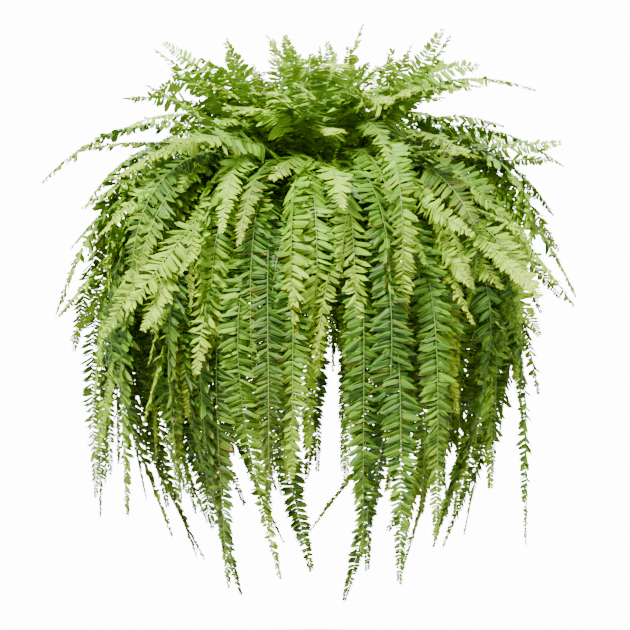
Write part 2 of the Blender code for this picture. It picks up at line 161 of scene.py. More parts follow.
# %% [markdown]
# ## The lines of the fronds
# Every frond leaves its head at a steep angle and bends over towards its tip. Its lift falls from `rise`
# to `droop` by a smooth rule, so a root, a tip and a few angles give the whole curve. The solids were
# drawn by the same rule from seeded random draws, with several tries for each place. The try that was
# kept is the one whose tip is a corner of that tuft's solid, so it can be found again here without
# repeating the growth.

# %% The pot's and the fronds' measures
RIM_RADIUS = 0.150
FOOT_RADIUS = 0.108
POT_HEIGHT = 0.185
WALL = 0.003
LIP_WIDTH = 0.005
RIM_Z = -0.008
BASE_Z = RIM_Z - POT_HEIGHT
SOIL_EDGE_Z = RIM_Z - 0.014
SOIL_DOME = 0.016
HEAD_RISE = 0.010
RIB_WIDTH = 0.0026
RIB_TAPER = 0.60
RIB_STEPS = 36
STIFF = 1.35
CUP = math.radians(9)
TRIES = 400

RINGS = {"outer": (0.115, 22), "second": (0.086, 14), "inner": (0.056, 9), "heart": (0.027, 7)}
LAYERS = {
    "outer": [(16, -83, 4.6, 0.050), (17, -77, 4.6, 0.050), (18, -70, 4.6, 0.055),
              (20, -62, 4.4, 0.055), (22, -54, 4.2, 0.055), (24, -46, 3.8, 0.060)],
    "second": [(25, -38, 3.2, 0.065), (28, -30, 2.8, 0.065), (32, -22, 2.4, 0.070),
               (37, -14, 2.0, 0.070), (42, -6, 1.7, 0.070)],
    "inner": [(46, -3, 1.6, 0.075), (51, 6, 1.5, 0.075), (57, 14, 1.4, 0.070),
              (62, 22, 1.3, 0.065), (67, 31, 1.2, 0.060)],
    "heart": [(68, 30, 1.2, 0.060), (72, 39, 1.1, 0.055), (76, 48, 1.0, 0.050),
              (80, 57, 1.0, 0.045), (84, 67, 1.0, 0.040), (88, 78, 1.0, 0.035)],
}
# How far the fronds stray from those measures, in degrees but for the heading's radians. A later try
# strays further by its share of TRIES.
RISE_SPREAD = 3.5
TIP_SPREAD = 5.0
ROLL_SPREAD = 16
SWEEP_SPREAD = 13
HEADING_SPREAD = 0.09
HEADING_STRAY = 0.55
SHRINK = 0.6                    # the share of its size that a late try may give up

# How far from the origin a frond's tip may lie, by its elevation in degrees.
REACH = [(-90, 0.55), (-80, 0.58), (-70, 0.60), (-60, 0.58), (-50, 0.53), (-40, 0.48), (-20, 0.44),
         (0, 0.425), (20, 0.39), (40, 0.33), (60, 0.28), (90, 0.25)]
SHORTEST = 0.62                 # the shortest frond's share of that
RING_TURN = math.radians(37)    # each ring starts this much further round
FORK = math.radians(11)         # the usual angle between the fronds of a head
HALF_WIDTHS = (0.022, 0.027)    # the longest leaflets' lengths
ROOT_SINK = 0.004               # how deep a frond is rooted in its head
ROOT_OUT = 0.0015               # how far its root lies outwards from the head's middle
LEADER_STRAY = 0.008            # how closely a leader's tip keeps to its place on the first try

# Tips of the fronds that stand out from the mass or hang in front of the pot.
LEADERS = [
    (0.075, -0.03, 0.275), (-0.05, -0.05, 0.250), (0.14, 0.08, 0.205), (-0.105, 0.06, 0.205),
    (-0.225, 0.02, 0.215), (0.265, 0.05, 0.160), (0.175, -0.10, 0.150), (0.370, -0.05, 0.170),
    (-0.335, 0.06, 0.145), (-0.325, -0.08, 0.100), (-0.475, -0.03, 0.000), (-0.415, 0.08, -0.045),
    (0.405, 0.10, -0.035), (0.445, -0.05, -0.195), (0.380, 0.06, -0.270), (-0.440, -0.06, -0.225),
    (-0.425, 0.05, -0.310), (-0.390, -0.05, -0.370), (0.385, 0.08, -0.330), (0.325, -0.04, -0.450),
    (-0.365, -0.06, -0.520), (-0.290, 0.08, -0.525), (-0.200, -0.14, -0.560), (-0.120, -0.18, -0.680),
    (-0.080, 0.20, -0.690), (0.010, 0.24, -0.575), (0.040, -0.20, -0.690), (0.140, 0.20, -0.610),
    (0.215, -0.12, -0.620), (0.275, 0.08, -0.655), (-0.120, -0.350, -0.060), (0.050, -0.370, -0.010),
    (0.170, -0.340, -0.100), (-0.030, -0.360, -0.160), (0.090, -0.350, -0.200), (-0.160, -0.320, -0.240),
    (-0.435, 0.02, -0.110), (0.435, 0.00, -0.110), (0.420, -0.06, 0.035), (-0.400, -0.10, 0.060),
    (-0.150, -0.05, 0.215), (0.020, -0.08, 0.230), (0.195, 0.02, 0.185), (0.320, -0.02, 0.110),
    (0.020, -0.320, -0.240), (0.140, -0.300, -0.310), (-0.060, -0.280, -0.270), (0.060, -0.250, -0.250),
    (-0.260, -0.100, -0.470), (-0.170, -0.180, -0.500), (-0.100, 0.120, -0.520), (0.120, -0.180, -0.500),
    (0.190, 0.140, -0.500), (0.270, -0.120, -0.450), (0.330, 0.050, -0.420), (-0.330, 0.060, -0.430),
    (-0.310, -0.120, -0.380), (0.300, -0.150, -0.350), (-0.220, 0.200, -0.450), (0.240, 0.200, -0.440),
    (-0.050, 0.250, -0.500), (-0.210, -0.220, -0.400), (0.200, -0.240, -0.400),
]


# %% [markdown]
# ## The heads, and what each frond draws
# The heads stand in four rings, and each one carries its fronds like a fan, the lowest layer first. A
# frond could be placed by hand, but hundreds of them would look arranged. Here each one draws its own
# rise, turn, tip, bend and roll from a random generator that is seeded with its name, so the same plant
# comes out every time. Leaders are fronds whose tips are given, where one stands out from the mass.

# %% Heads and drawn measures
BEND_SPREAD = (0.85, 1.15)
MIDDLE_LAYER = 2                # the layer that grows straight out from its head
LEADER_LOOSE = 0.04             # how much further a leader's tip may stray on the last try


def soil_height(radius):
    """The mix's surface: mounded round the heads and level near the wall."""
    share = min(1, radius / (RIM_RADIUS - LIP_WIDTH - WALL))
    return SOIL_EDGE_Z + SOIL_DOME * (1 - share ** 2)


def head_places():
    """Every head: its name, its ring, its foot point and its turn round the axis."""
    for step, (ring, (radius, count)) in enumerate(RINGS.items()):
        for number in range(count):
            turn = RING_TURN * step + math.tau * number / count
            foot = Vector((radius * math.cos(turn), radius * math.sin(turn), soil_height(radius)))
            yield f"{ring}_tuft_{number + 1:02d}", ring, foot, turn


def reach_at(elevation):
    """The distance of the mass's surface from the origin at an elevation in degrees."""
    for (low, near), (high, far) in zip(REACH, REACH[1:]):
        if elevation <= high:
            return near + (far - near) * (max(elevation, low) - low) / (high - low)
    return REACH[-1][1]


def draw_measures(name, layer, attempt, leader, foot, turn):
    """One try at a frond, as a dictionary of its measures, drawn in a fixed order."""
    draw = random.Random(f"{name} {layer} {attempt}")
    ring = name.split("_")[0]
    rise, elevation, bend, bare = LAYERS[ring][layer]
    loose = attempt / TRIES
    heading = turn + FORK * (layer - MIDDLE_LAYER) + draw.gauss(0, HEADING_SPREAD + HEADING_STRAY * loose)
    size = 1 - SHRINK * loose * draw.random()
    rise = math.radians(rise + draw.gauss(0, RISE_SPREAD * (1 + 3 * loose)))
    elevation = elevation + draw.gauss(0, TIP_SPREAD * (1 + 2 * loose))
    reach = reach_at(elevation) * draw.uniform(SHORTEST, 1) * size
    bend = bend * draw.uniform(*BEND_SPREAD)
    sweep = math.radians(draw.gauss(0, SWEEP_SPREAD))
    roll = math.radians(draw.gauss(0, ROLL_SPREAD))
    half_width = draw.uniform(*HALF_WIDTHS) * (0.8 + 0.2 * size)
    level = math.cos(math.radians(elevation))
    tip = Vector((level * math.cos(heading), level * math.sin(heading), math.sin(math.radians(elevation))))
    tip *= reach
    if leader:
        stray = LEADER_STRAY + LEADER_LOOSE * loose
        tip = Vector(leader) + Vector([draw.uniform(-stray, stray) for _ in range(3)])
    spoke = Vector((math.cos(heading), math.sin(heading), 0))
    root = foot + spoke * ROOT_OUT + Vector((0, 0, HEAD_RISE - ROOT_SINK))
    return dict(root=root, tip=tip, rise=rise, bend=bend, sweep=sweep, roll=roll,
                half_width=half_width, bare=bare)


def share_leaders():
    """Gives each leader to the free frond that suits it best, by its tip's elevation and its turn."""
    given = {}
    for tip in LEADERS:
        turn = math.atan2(tip[1], tip[0])
        height = math.degrees(math.atan2(tip[2], math.hypot(tip[0], tip[1])))
        free = []
        for name, ring, _, head_turn in head_places():
            for layer, (_, elevation, _, _) in enumerate(LAYERS[ring]):
                if (name, layer) not in given:
                    away = math.remainder(head_turn + FORK * (layer - MIDDLE_LAYER) - turn, math.tau)
                    free.append((abs(math.degrees(away)) + abs(elevation - height), name, layer))
        given[min(free)[1:]] = tip
    return given


# %% [markdown]
# ## A frond as a curve
# A frond's rib is a springy cantilever: stiff near its root and soft towards its tip, so most of its bend
# lies in its outer half. A curve object with handles could draw it, but its leaflets also need the
# directions across the rib and out of it at every point. So the rib is summed from short straight steps,
# and the lift of its last step is found by halving a range until the curve points at its tip.

# %% A frond's curve
LOWEST_DROOP = math.radians(-130)
SEARCH_STEPS = 18
TWISTS = (0.3, 1.1)             # how far a blade turns to and fro, in radians, and how many times
TWIST_TURNS = (0.7, 1.7)
TWIST_HUMP = 2.5                # the twist dies away at root and tip
FIRST_LEAFLET = 0.35            # the lowest leaflet's share of the longest
FILL_OUT = 2.4                  # how fast leaflets reach full length above it
TAPER_FROM = 0.46               # where the leafy part starts to narrow, by how much, and how roundly
TAPER_BY = 0.9
TAPER_BEND = 1.9


class Frond:
    """The rib of a frond as arrays: its points, and the directions along, across and out of it."""

    def __init__(self, root, tip, rise, bend, sweep, roll, half_width, bare):
        self.rise, self.bend, self.sweep, self.roll = rise, bend, sweep, roll
        self.half_width = half_width
        free = random.Random(str(tip))
        self.twist = free.uniform(*TWISTS), free.uniform(*TWIST_TURNS), free.random()
        self.heading = 0
        chord = np.array(tip - root)
        lean = math.atan2(chord[2], math.hypot(chord[0], chord[1]))
        low, high = LOWEST_DROOP, rise
        for _ in range(SEARCH_STEPS):
            self.droop = (low + high) / 2
            end = self.trace(1)[-1]
            if math.atan2(end[2], math.hypot(end[0], end[1])) > lean:
                high = self.droop
            else:
                low = self.droop
        self.heading = math.atan2(chord[1], chord[0]) - math.atan2(end[1], end[0])
        self.length = float(np.linalg.norm(chord) / np.linalg.norm(end))
        self.rib = self.trace(self.length) + np.array(root)
        self.bare = bare / self.length

    def angles(self, t):
        bow = 1 - np.maximum(0, 1 - t ** STIFF) ** self.bend
        return self.rise + (self.droop - self.rise) * bow, self.heading + self.sweep * (t - 0.5)

    def along(self, t):
        lift, turn = self.angles(t)
        return np.stack([np.cos(lift) * np.cos(turn), np.cos(lift) * np.sin(turn), np.sin(lift)], -1)

    def trace(self, length):
        steps = self.along((np.arange(RIB_STEPS) + 0.5) / RIB_STEPS) * (length / RIB_STEPS)
        return np.concatenate([np.zeros((1, 3)), np.cumsum(steps, 0)])

    def axes(self, t):
        """The directions across the blade and out of its upper side, with a slow twist to and fro."""
        lift, turn = self.angles(t)
        size, turns, start = self.twist
        twist = size * np.sin(math.tau * (turns * t + start)) * t * (1 - t) * TWIST_HUMP
        roll = (self.roll * t + twist)[:, None]
        across = np.stack([np.sin(turn), -np.cos(turn), np.zeros_like(turn)], -1)
        upper = np.stack([-np.sin(lift) * np.cos(turn), -np.sin(lift) * np.sin(turn), np.cos(lift)], -1)
        return (across * np.cos(roll) + upper * np.sin(roll),
                upper * np.cos(roll) - across * np.sin(roll))

    def point(self, t):
        place = np.linspace(0, 1, RIB_STEPS + 1)
        return np.stack([np.interp(t, place, self.rib[:, k]) for k in range(3)], -1)

    def breadth(self, t):
        """The length of a leaflet at t."""
        leafy = np.maximum(0, (t - self.bare) / (1 - self.bare))
        taper = np.maximum(0, (leafy - TAPER_FROM) / (1 - TAPER_FROM))
        full = np.minimum(1, FIRST_LEAFLET + FILL_OUT * leafy)
        return self.half_width * full * (1 - TAPER_BY * taper ** TAPER_BEND)


# %% [markdown]
# ## Find every frond again
# When the solids were grown, a frond was drawn again and again until it cut none of the others, so one
# can't tell from its name which try was kept. Its solid can tell: the tip of the kept try is a corner of
# it, and so is the point one blade's thickness below. A tree of all corners finds the nearest one at
# once, and both points must have a corner close by.

# %% Find every frond again
MATCH = 0.0003                  # how closely a drawn tip meets its corners of the solid
BLADE = 0.0006                  # the solids' thickness there


def find_fronds():
    """Each head's fronds with their layers, matched to the corners of its solid."""
    leaders = share_leaders()
    found = {}
    for name, ring, foot, turn in head_places():
        corners = frame["nodes"][name].data.vertices
        tree = KDTree(len(corners))
        for index, corner in enumerate(corners):
            tree.insert(corner.co, index)
        tree.balance()
        found[name] = []
        for layer in range(len(LAYERS[ring])):
            leader = leaders.get((name, layer))
            for attempt in range(TRIES):
                drawn = draw_measures(name, layer, attempt, leader, foot, turn)
                if tree.find(drawn["tip"])[2] > MATCH:
                    continue
                frond = Frond(**drawn)
                _, upper = frond.axes(np.array([1.0]))
                if tree.find(drawn["tip"] - Vector(upper[0]) * BLADE)[2] < MATCH:
                    found[name].append((layer, frond))
                    break
    return found


fronds = find_fronds()
print("fronds found", sum(len(f) for f in fronds.values()),
      "metres of rib", round(sum(f.length for tuft in fronds.values() for _, f in tuft), 1))

# %% [markdown]
# ## Younger fronds between them
# A real fern keeps sending up fronds between the old ones. The solids hold the main fronds, with room
# between them so that none cuts another. Here the heads also get lighter fronds by the same rule. Low
# ones thicken the skirt, spears lean out of its face at every height, and steep ones fill the crown.
# They lean and roll more freely than the main ones, and a gap under the pot stays open, where the light
# comes through.

# %% Draw the younger fronds
# The gap: its middle's x and z, its half width and half height, and how it falls away to the back.
WINDOW = (0.026, -0.372, 0.024, 0.042, 0.16)
# Each band: its fronds and their ring, then the ranges of their rise, the elevation of their tip, their
# bend and their reach, and their tone against the ring's.
FILL = [
    (69, "outer", (10, 22), (-84, -54), (3.6, 5.0), (0.52, 0.72), -0.10),
    (46, "outer", (8, 24), (-66, -34), (3.6, 5.0), (0.44, 0.62), 0.00),
    (78, "second", (0, 26), (-50, -4), (2.4, 4.0), (0.36, 0.50), 0.14),
    (20, "second", (-4, 24), (-52, -18), (2.6, 4.6), (0.40, 0.53), 0.18),
    (52, "second", (34, 56), (-46, -16), (1.3, 2.3), (0.36, 0.44), 0.10),
    (16, "second", (20, 46), (-12, 24), (1.4, 2.4), (0.34, 0.45), 0.06),
    (46, "inner", (46, 86), (20, 76), (0.9, 1.4), (0.26, 0.38), 0.00),
]
SWAY = {"outer": 18, "second": 26, "inner": 30}      # how far they curve sideways, in degrees
YOUNG_FAN = 0.34                # how far they fan out round their head, in radians
YOUNG_ROLL = 44                 # and how far they roll, in degrees
YOUNG_STALK = 0.050
YOUNG_WIDTHS = (0.021, 0.031)
POT_CLEAR = 0.004
INSIDE = 0.006                  # how far the ribs stay inside the solids' box


def fits_plant(rib):
    """Whether a rib clears the pot, stays in the plant's box and leaves the gap under the pot open."""
    x, z, half_width, half_height, slope = WINDOW
    beside, above = np.abs(rib[:, 0] - x), np.abs(rib[:, 2] + slope * rib[:, 1] - z)
    in_gap = (beside < half_width) & (above < half_height)
    from_axis = np.hypot(rib[2:, 0], rib[2:, 1])
    in_pot = (from_axis < RIM_RADIUS + POT_CLEAR) & (rib[2:, 2] < RIM_Z + POT_CLEAR)
    low, high = (np.array(corner) for corner in cad_box)
    outside = (rib < low + INSIDE) | (rib > high - INSIDE)
    return not (in_gap.any() or in_pot.any() or outside.any())


def draw_younger():
    """More fronds for the heads, with their tones, by the head's name."""
    places = {ring: [] for ring in RINGS}
    for name, ring, foot, turn in head_places():
        places[ring].append((name, foot, turn))
    extra = {name: [] for name in fronds}
    for band, (count, ring, rise, elevation, bend, reach, tone) in enumerate(FILL):
        draw = random.Random(f"younger {band}")
        made = 0
        while made < count:
            name, foot, turn = draw.choice(places[ring])
            heading = turn + draw.gauss(0, YOUNG_FAN)
            lean = math.radians(draw.uniform(*elevation))
            spoke = Vector((math.cos(heading), math.sin(heading), 0))
            tip = (spoke * math.cos(lean) + Vector((0, 0, math.sin(lean)))) * draw.uniform(*reach)
            frond = Frond(foot + spoke * 0.003 + Vector((0, 0, HEAD_RISE - 0.005)), tip,
                          math.radians(draw.uniform(*rise)), draw.uniform(*bend),
                          math.radians(draw.gauss(0, SWAY[ring])), math.radians(draw.gauss(0, YOUNG_ROLL)),
                          draw.uniform(*YOUNG_WIDTHS), YOUNG_STALK)
            if fits_plant(frond.rib):
                extra[name].append((frond, tone))
                made += 1
    return extra


younger = draw_younger()
print("younger fronds", sum(len(f) for f in younger.values()))

# %% [markdown]
# ## One leaflet, modelled once
# A Boston fern's leaflet is a blunt oblong three times as long as it is wide, with a small ear at its
# foot on the side nearer the frond's tip. It arches across its midrib, so light runs along it as one
# bright line. It could be a flat card with a picture of a leaflet, but a card has no thickness and no
# arch. Here a grid is shaped in edit mode: its rows become the outline's stations, its far end is closed
# to a point, and a flipped copy without the midrib closes it underneath.

# %% The leaflet
# Each station: its place along the leaflet, and the half widths on the ear's side and on the other.
LEAFLET_OUTLINE = [(0.0, 0.07, 0.05), (0.10, 0.66, 0.42), (0.42, 0.50, 0.48), (0.84, 0.38, 0.37),
                   (1.0, 0.0, 0.0)]
SLIM_OUTLINE = [(0.0, 0.16, 0.12), (0.18, 0.60, 0.44), (0.78, 0.44, 0.42), (1.0, 0.0, 0.0)]
TINY_OUTLINE = [(0.0, 0.36, 0.30), (0.62, 0.50, 0.46), (1.0, 0.0, 0.0)]


def model_leaflet(name, outline):
    """A closed leaflet of unit length along X, in triangles, as arrays for copying."""
    deselect()
    bpy.ops.mesh.primitive_grid_add(x_subdivisions=len(outline) - 1, y_subdivisions=2, size=1)
    leaflet = bpy.context.object
    leaflet.name = name
    bpy.ops.object.mode_set(mode="EDIT")
    shape = bmesh.from_edit_mesh(leaflet.data)
    places = sorted({round(corner.co.x, 5) for corner in shape.verts})
    for corner in shape.verts:
        share, ear, plain = outline[places.index(round(corner.co.x, 5))]
        side = (corner.co.y > 0.1) - (corner.co.y < -0.1)
        corner.co = (share, ear if side > 0 else -plain if side < 0 else 0, 0.001 * (side == 0))
    bmesh.update_edit_mesh(leaflet.data)
    bpy.ops.mesh.select_all(action="SELECT")
    bpy.ops.mesh.duplicate()
    bpy.ops.mesh.flip_normals()
    bpy.ops.mesh.select_mode(type="EDGE")
    shape = bmesh.from_edit_mesh(leaflet.data)
    under = [edge for edge in shape.edges if edge.select]
    for edge in under:
        edge.select_set(all(abs(corner.co.y) < 0.0001 and corner.co.z > 0 for corner in edge.verts))
    bmesh.update_edit_mesh(leaflet.data)
    bpy.ops.mesh.dissolve_edges(use_verts=True)
    bpy.ops.mesh.select_all(action="SELECT")
    bpy.ops.mesh.remove_doubles(threshold=0.0005)
    bpy.ops.mesh.quads_convert_to_tris()
    bpy.ops.object.mode_set(mode="OBJECT")
    mesh = leaflet.data
    corners = np.array([corner.co for corner in mesh.vertices])
    faces = np.array([face.vertices for face in mesh.polygons])
    normals = np.array([face.normal for face in mesh.polygons])
    bpy.data.objects.remove(leaflet)
    return dict(u=corners[:, 0], y=corners[:, 1], v=np.sign(np.round(corners[:, 1], 4)),
                faces=faces, under=(normals[:, 2] < -0.5).astype(float))


full_leaflet = model_leaflet("full_leaflet", LEAFLET_OUTLINE)
slim_leaflet = model_leaflet("slim_leaflet", SLIM_OUTLINE)
tiny_leaflet = model_leaflet("tiny_leaflet", TINY_OUTLINE)
models = (full_leaflet, slim_leaflet, tiny_leaflet)
print("triangles in the leaflets", [len(model["faces"]) for model in models])

# %% [markdown]
# ## A comb of leaflets on every rib
# Leaflets leave the rib left and right by turns, a finger's width apart, and lean a little forward. Each
# one turns on its own stalk to face the light, so on a hanging frond they stand like the slats of a
# blind: bright above, dark beneath. Arrays place them all at once, because ten thousand copies made by
# hand tools would take hours. A few seeded draws give every leaflet its own lean, wave, length and tone.

# %% Lay leaflets along a frond
PITCH = 0.0071                  # between leaflets on one side, in metres
LEAFLET_WIDTH = 0.0086
FULL_LENGTH = 1.22              # the solids' blades stop this much short of the leaflets' tips
FORWARD = math.radians(12)      # how far a leaflet leans towards the frond's tip
CURL_ON = 0.45                  # how much more it leans at the very tip
FACE_LIGHT = 0.55               # how strongly it turns its upper side to the sky
SLIM_LENGTH = 0.038             # shorter leaflets than this have fewer faces
TINY_LENGTH = 0.027
PITCH_SHARES = (0.36, 0.70)     # a short leaflet's pitch and width, as shares of a long one's
WIDTH_SHARES = (0.30, 0.75)
LONG = 0.030
LAST_LEAFLET = 0.985            # the last one's place on the rib
LOST = 0.012                    # the share of leaflets that have fallen
# How far single leaflets stray: their lean, cup and face, then their length, width, ripple and sag.
LEAN_STRAY, CUP_STRAY, FACE_STRAY = 0.16, 0.20, 0.33
LENGTHS, WIDTHS = (0.76, 1.08), (0.88, 1.1)
RIPPLES, RIPPLE_TURNS = (0.14, 0.46), (1.0, 1.9)
SAGS = (0.02, 0.20)
ARCH = 0.30                     # how far a leaflet's edges lie below its midrib, in widths


def unit(rows):
    return rows / np.linalg.norm(rows, axis=-1, keepdims=True)


def leaflet_places(frond, rng):
    """Where leaflets leave the rib: shares of its length and sides, closer together near the tip."""
    places = []
    for side, start in ((-1, 0.0), (1, 0.5)):
        at = frond.bare * frond.length + start * PITCH
        while at < frond.length * LAST_LEAFLET:
            share = at / frond.length
            places.append((share, side))
            length = FULL_LENGTH * float(frond.breadth(np.array([share]))[0])
            at += PITCH * min(1, PITCH_SHARES[0] + PITCH_SHARES[1] * length / LONG) * rng.uniform(0.88, 1.12)
    places = np.array([place for place in places if rng.random() > LOST])
    return places[:, 0], places[:, 1]


def lay_leaflets(frond, tone, dryness, models, rng):
    """The corners, faces and surface values of every leaflet of a frond."""
    t, side = leaflet_places(frond, rng)
    count = len(t)
    across, upper = frond.axes(t)
    along = unit(frond.along(t))
    ahead = FORWARD + CURL_ON * t ** 3 + rng.normal(0, LEAN_STRAY, count)
    cup = CUP + rng.normal(0, CUP_STRAY, count)
    axis = across * (side * np.cos(ahead))[:, None] + along * np.sin(ahead)[:, None]
    axis = unit(axis * np.cos(cup)[:, None] - upper * np.sin(cup)[:, None])
    free_to_turn = np.clip(1 - 1.3 * along[:, 2], 0.1, 1) * rng.uniform(0.5, 1.4, count)
    sky = FACE_LIGHT * free_to_turn[:, None] * np.array([0, 0, 1])
    face = upper + sky + rng.normal(0, FACE_STRAY, (count, 3))
    face = unit(face - axis * np.sum(face * axis, -1, keepdims=True))
    broad = unit(along - axis * np.sum(along * axis, -1, keepdims=True)
                 - face * np.sum(along * face, -1, keepdims=True))
    length = FULL_LENGTH * frond.breadth(t) / np.cos(ahead) ** 0.5 * rng.uniform(*LENGTHS, count)
    slim = np.minimum(1, WIDTH_SHARES[0] + WIDTH_SHARES[1] * length / LONG)
    width = LEAFLET_WIDTH * slim * rng.uniform(*WIDTHS, count)
    foot = frond.point(t) + across * (side * RIB_WIDTH * 0.25)[:, None] - upper * 0.0004
    wave = rng.uniform(*RIPPLES, count)
    phase = rng.uniform(0, math.tau, (count, 2))
    turns = rng.uniform(*RIPPLE_TURNS, count)
    sag = rng.uniform(*SAGS, count)
    leaflet_tone = np.clip(tone + rng.normal(0, 0.12, count), 0, 1)
    dry = np.clip(rng.normal(0, 0.30, count), 0, 1) ** 2 + dryness * np.clip(2.5 * t - 1.3, 0, 1)
    dry = np.clip(dry, 0, 1)

    parts = []
    tiny = length < TINY_LENGTH
    small = (length < SLIM_LENGTH) & ~tiny
    for model, chosen in ((models[0], ~small & ~tiny), (models[1], small), (models[2], tiny)):
        index = np.nonzero(chosen)[0]
        if not len(index):
            continue
        u, y, v = model["u"][None, :], model["y"][None, :], model["v"][None, :]
        size = width[index, None]
        swing = np.where(v > 0, phase[index, 0:1], phase[index, 1:2])
        ripple = wave[index, None] * np.abs(v) * np.sin(math.tau * turns[index, None] * u + swing)
        lift = (-ARCH * v ** 2 + ripple * np.minimum(1, 4 * u)) * size
        reach = length[index, None] * u
        bow = sag[index, None] * length[index, None] * u ** 2
        corners = (foot[index, None] + axis[index, None] * reach[..., None]
                   + broad[index, None] * (y * size)[..., None]
                   + face[index, None] * (lift - 0.6 * bow)[..., None]
                   - np.array([0, 0, 0.6]) * bow[..., None])
        faces = model["faces"]
        flipped = side[index, None, None] < 0
        faces = np.where(flipped, faces[None, :, ::-1], faces[None])
        faces = faces + (np.arange(len(index)) * len(model["u"]))[:, None, None]
        ones = np.ones((len(index), len(model["u"])))
        parts.append(dict(
            corners=corners.reshape(-1, 3), faces=faces.reshape(-1, 3),
            uv=np.stack([u * ones, (0.5 + 0.5 * v) * ones], -1).reshape(-1, 2),
            look=np.stack([leaflet_tone[index, None] * ones, t[index, None] * ones,
                           dry[index, None] * ones, ones], -1).reshape(-1, 4),
            under=np.tile(model["under"], len(index)),
            material=np.zeros(len(index) * len(model["faces"]), int)))
    return parts


# %% [markdown]
# ## The rib
# A stalk has a groove along its upper side and a round keel below, brown and scaly at its foot and thin
# as wire at its tip. A curve with a bevel profile could be swept along the frond, but its mesh would need
# converting and its groove would turn over where the blade twists. Rings of six corners laid along the
# frond's own directions keep the groove on top. The parts of a tuft then become one mesh.

# %% The rib
RIB_SHARE = 0.76                # the finer ribs' width as a share of the solids'
# Its outline across, in shares of its width.
RIB_OUTLINE = np.array([(-0.46, 0.02), (0.0, -0.16), (0.46, 0.02),
                        (0.42, -0.52), (0.0, -0.94), (-0.42, -0.52)])


def lay_rib(frond, tone, steps):
    """A grooved, tapering tube from inside the head to the frond's tip."""
    t = np.linspace(0, 1, steps + 1)
    across, upper = frond.axes(t)
    size = RIB_SHARE * RIB_WIDTH * (1 - (RIB_TAPER + 0.12) * t)
    size[-1] *= 0.4
    rings = frond.point(t)[:, None] + size[:, None, None] * (
        across[:, None] * RIB_OUTLINE[None, :, 0:1] + upper[:, None] * RIB_OUTLINE[None, :, 1:2])
    around = len(RIB_OUTLINE)
    faces = []
    for step in range(steps):
        for corner in range(around):
            after = (corner + 1) % around
            a, b = step * around + corner, step * around + after
            faces += [(a, b, b + around), (a, b + around, a + around)]
    last = steps * around
    for corner in range(1, around - 1):
        faces += [(0, corner + 1, corner), (last, last + corner, last + corner + 1)]
    count = len(rings) * around
    look = np.stack([np.full(count, tone), np.repeat(t, around), np.zeros(count), np.ones(count)], -1)
    uv = np.stack([np.repeat(t, around), np.tile(np.linspace(0, 1, around), len(rings))], -1)
    return dict(corners=rings.reshape(-1, 3), faces=np.array(faces), uv=uv, look=look,
                under=np.zeros(len(faces)), material=np.ones(len(faces), int))


def make_mesh(name, parts, materials):
    """One object from arrays of triangles, with its UV map and its surface values as attributes."""
    first = 0
    faces = []
    for part in parts:
        faces.append(part["faces"] + first)
        first += len(part["corners"])
    faces = np.concatenate(faces).astype(np.int32)
    gathered = {key: np.concatenate([part[key] for part in parts])
                for key in ("corners", "uv", "look", "under", "material")}
    mesh = bpy.data.meshes.new(name)
    mesh.vertices.add(first)
    mesh.vertices.foreach_set("co", gathered["corners"].astype(np.float32).ravel())
    mesh.loops.add(faces.size)
    mesh.loops.foreach_set("vertex_index", faces.ravel())
    mesh.polygons.add(len(faces))
    mesh.polygons.foreach_set("loop_start", np.arange(0, faces.size, 3, dtype=np.int32))
    mesh.polygons.foreach_set("material_index", gathered["material"].astype(np.int32))
    mesh.update(calc_edges=True)
    uv_map = mesh.uv_layers.new(name="along_leaflet")
    uv_map.data.foreach_set("uv", gathered["uv"][faces.ravel()].astype(np.float32).ravel())
    look = mesh.attributes.new("look", "FLOAT_COLOR", "POINT")
    look.data.foreach_set("color", gathered["look"].astype(np.float32).ravel())
    under = mesh.attributes.new("under", "FLOAT", "FACE")
    under.data.foreach_set("value", gathered["under"].astype(np.float32))
    for finish in materials:
        mesh.materials.append(finish)
    made = bpy.data.objects.new(name, mesh)
    bpy.context.scene.collection.objects.link(made)
    return made


def smooth_by_angle(thing, degrees):
    deselect()
    thing.select_set(True)
    bpy.context.view_layer.objects.active = thing
    bpy.ops.object.shade_smooth_by_angle(angle=math.radians(degrees))


# %% [markdown]
# ## Materials
# The effects that several finishes share are small node groups: a mottle from two sizes of noise, and a
# fine grain that feeds the bumps. Each finish places them with its own scale and strength.

# %% Node helpers and shared groups
def node(tree, kind, inputs=(), **settings):
    """Adds a node. Inputs are pairs of a socket's name or number and a value or another socket."""
    made = tree.nodes.new(kind)
    for key, value in settings.items():
        setattr(made, key, value)
    for socket, value in inputs:
        if isinstance(value, bpy.types.NodeSocket):
            tree.links.new(value, made.inputs[socket])
        else:
            made.inputs[socket].default_value = value
    return made


def math_node(tree, operation, first, second=0.5, clamp=False):
    return node(tree, "ShaderNodeMath", [(0, first), (1, second)], operation=operation,
                use_clamp=clamp).outputs[0]


def blend_colours(tree, share, first, second):
    """A colour between two. The node has sockets of one name for each kind, so they are told by kind."""
    made = node(tree, "ShaderNodeMix", data_type="RGBA")
    for name, kind, value in (("Factor", "VALUE", share), ("A", "RGBA", first), ("B", "RGBA", second)):
        wanted = next(socket for socket in made.inputs if (socket.name, socket.type) == (name, kind))
        if isinstance(value, bpy.types.NodeSocket):
            tree.links.new(value, wanted)
        else:
            wanted.default_value = value
    return next(socket for socket in made.outputs if socket.type == "RGBA")


def faded(tree, mask, strength):
    """A mask at a share of its strength."""
    return math_node(tree, "MULTIPLY", mask, strength)


def ramp(tree, share, low, high):
    """A share stretched so that low becomes 0 and high becomes 1."""
    made = node(tree, "ShaderNodeMapRange", [("Value", share), ("From Min", low), ("From Max", high)])
    return made.outputs["Result"]


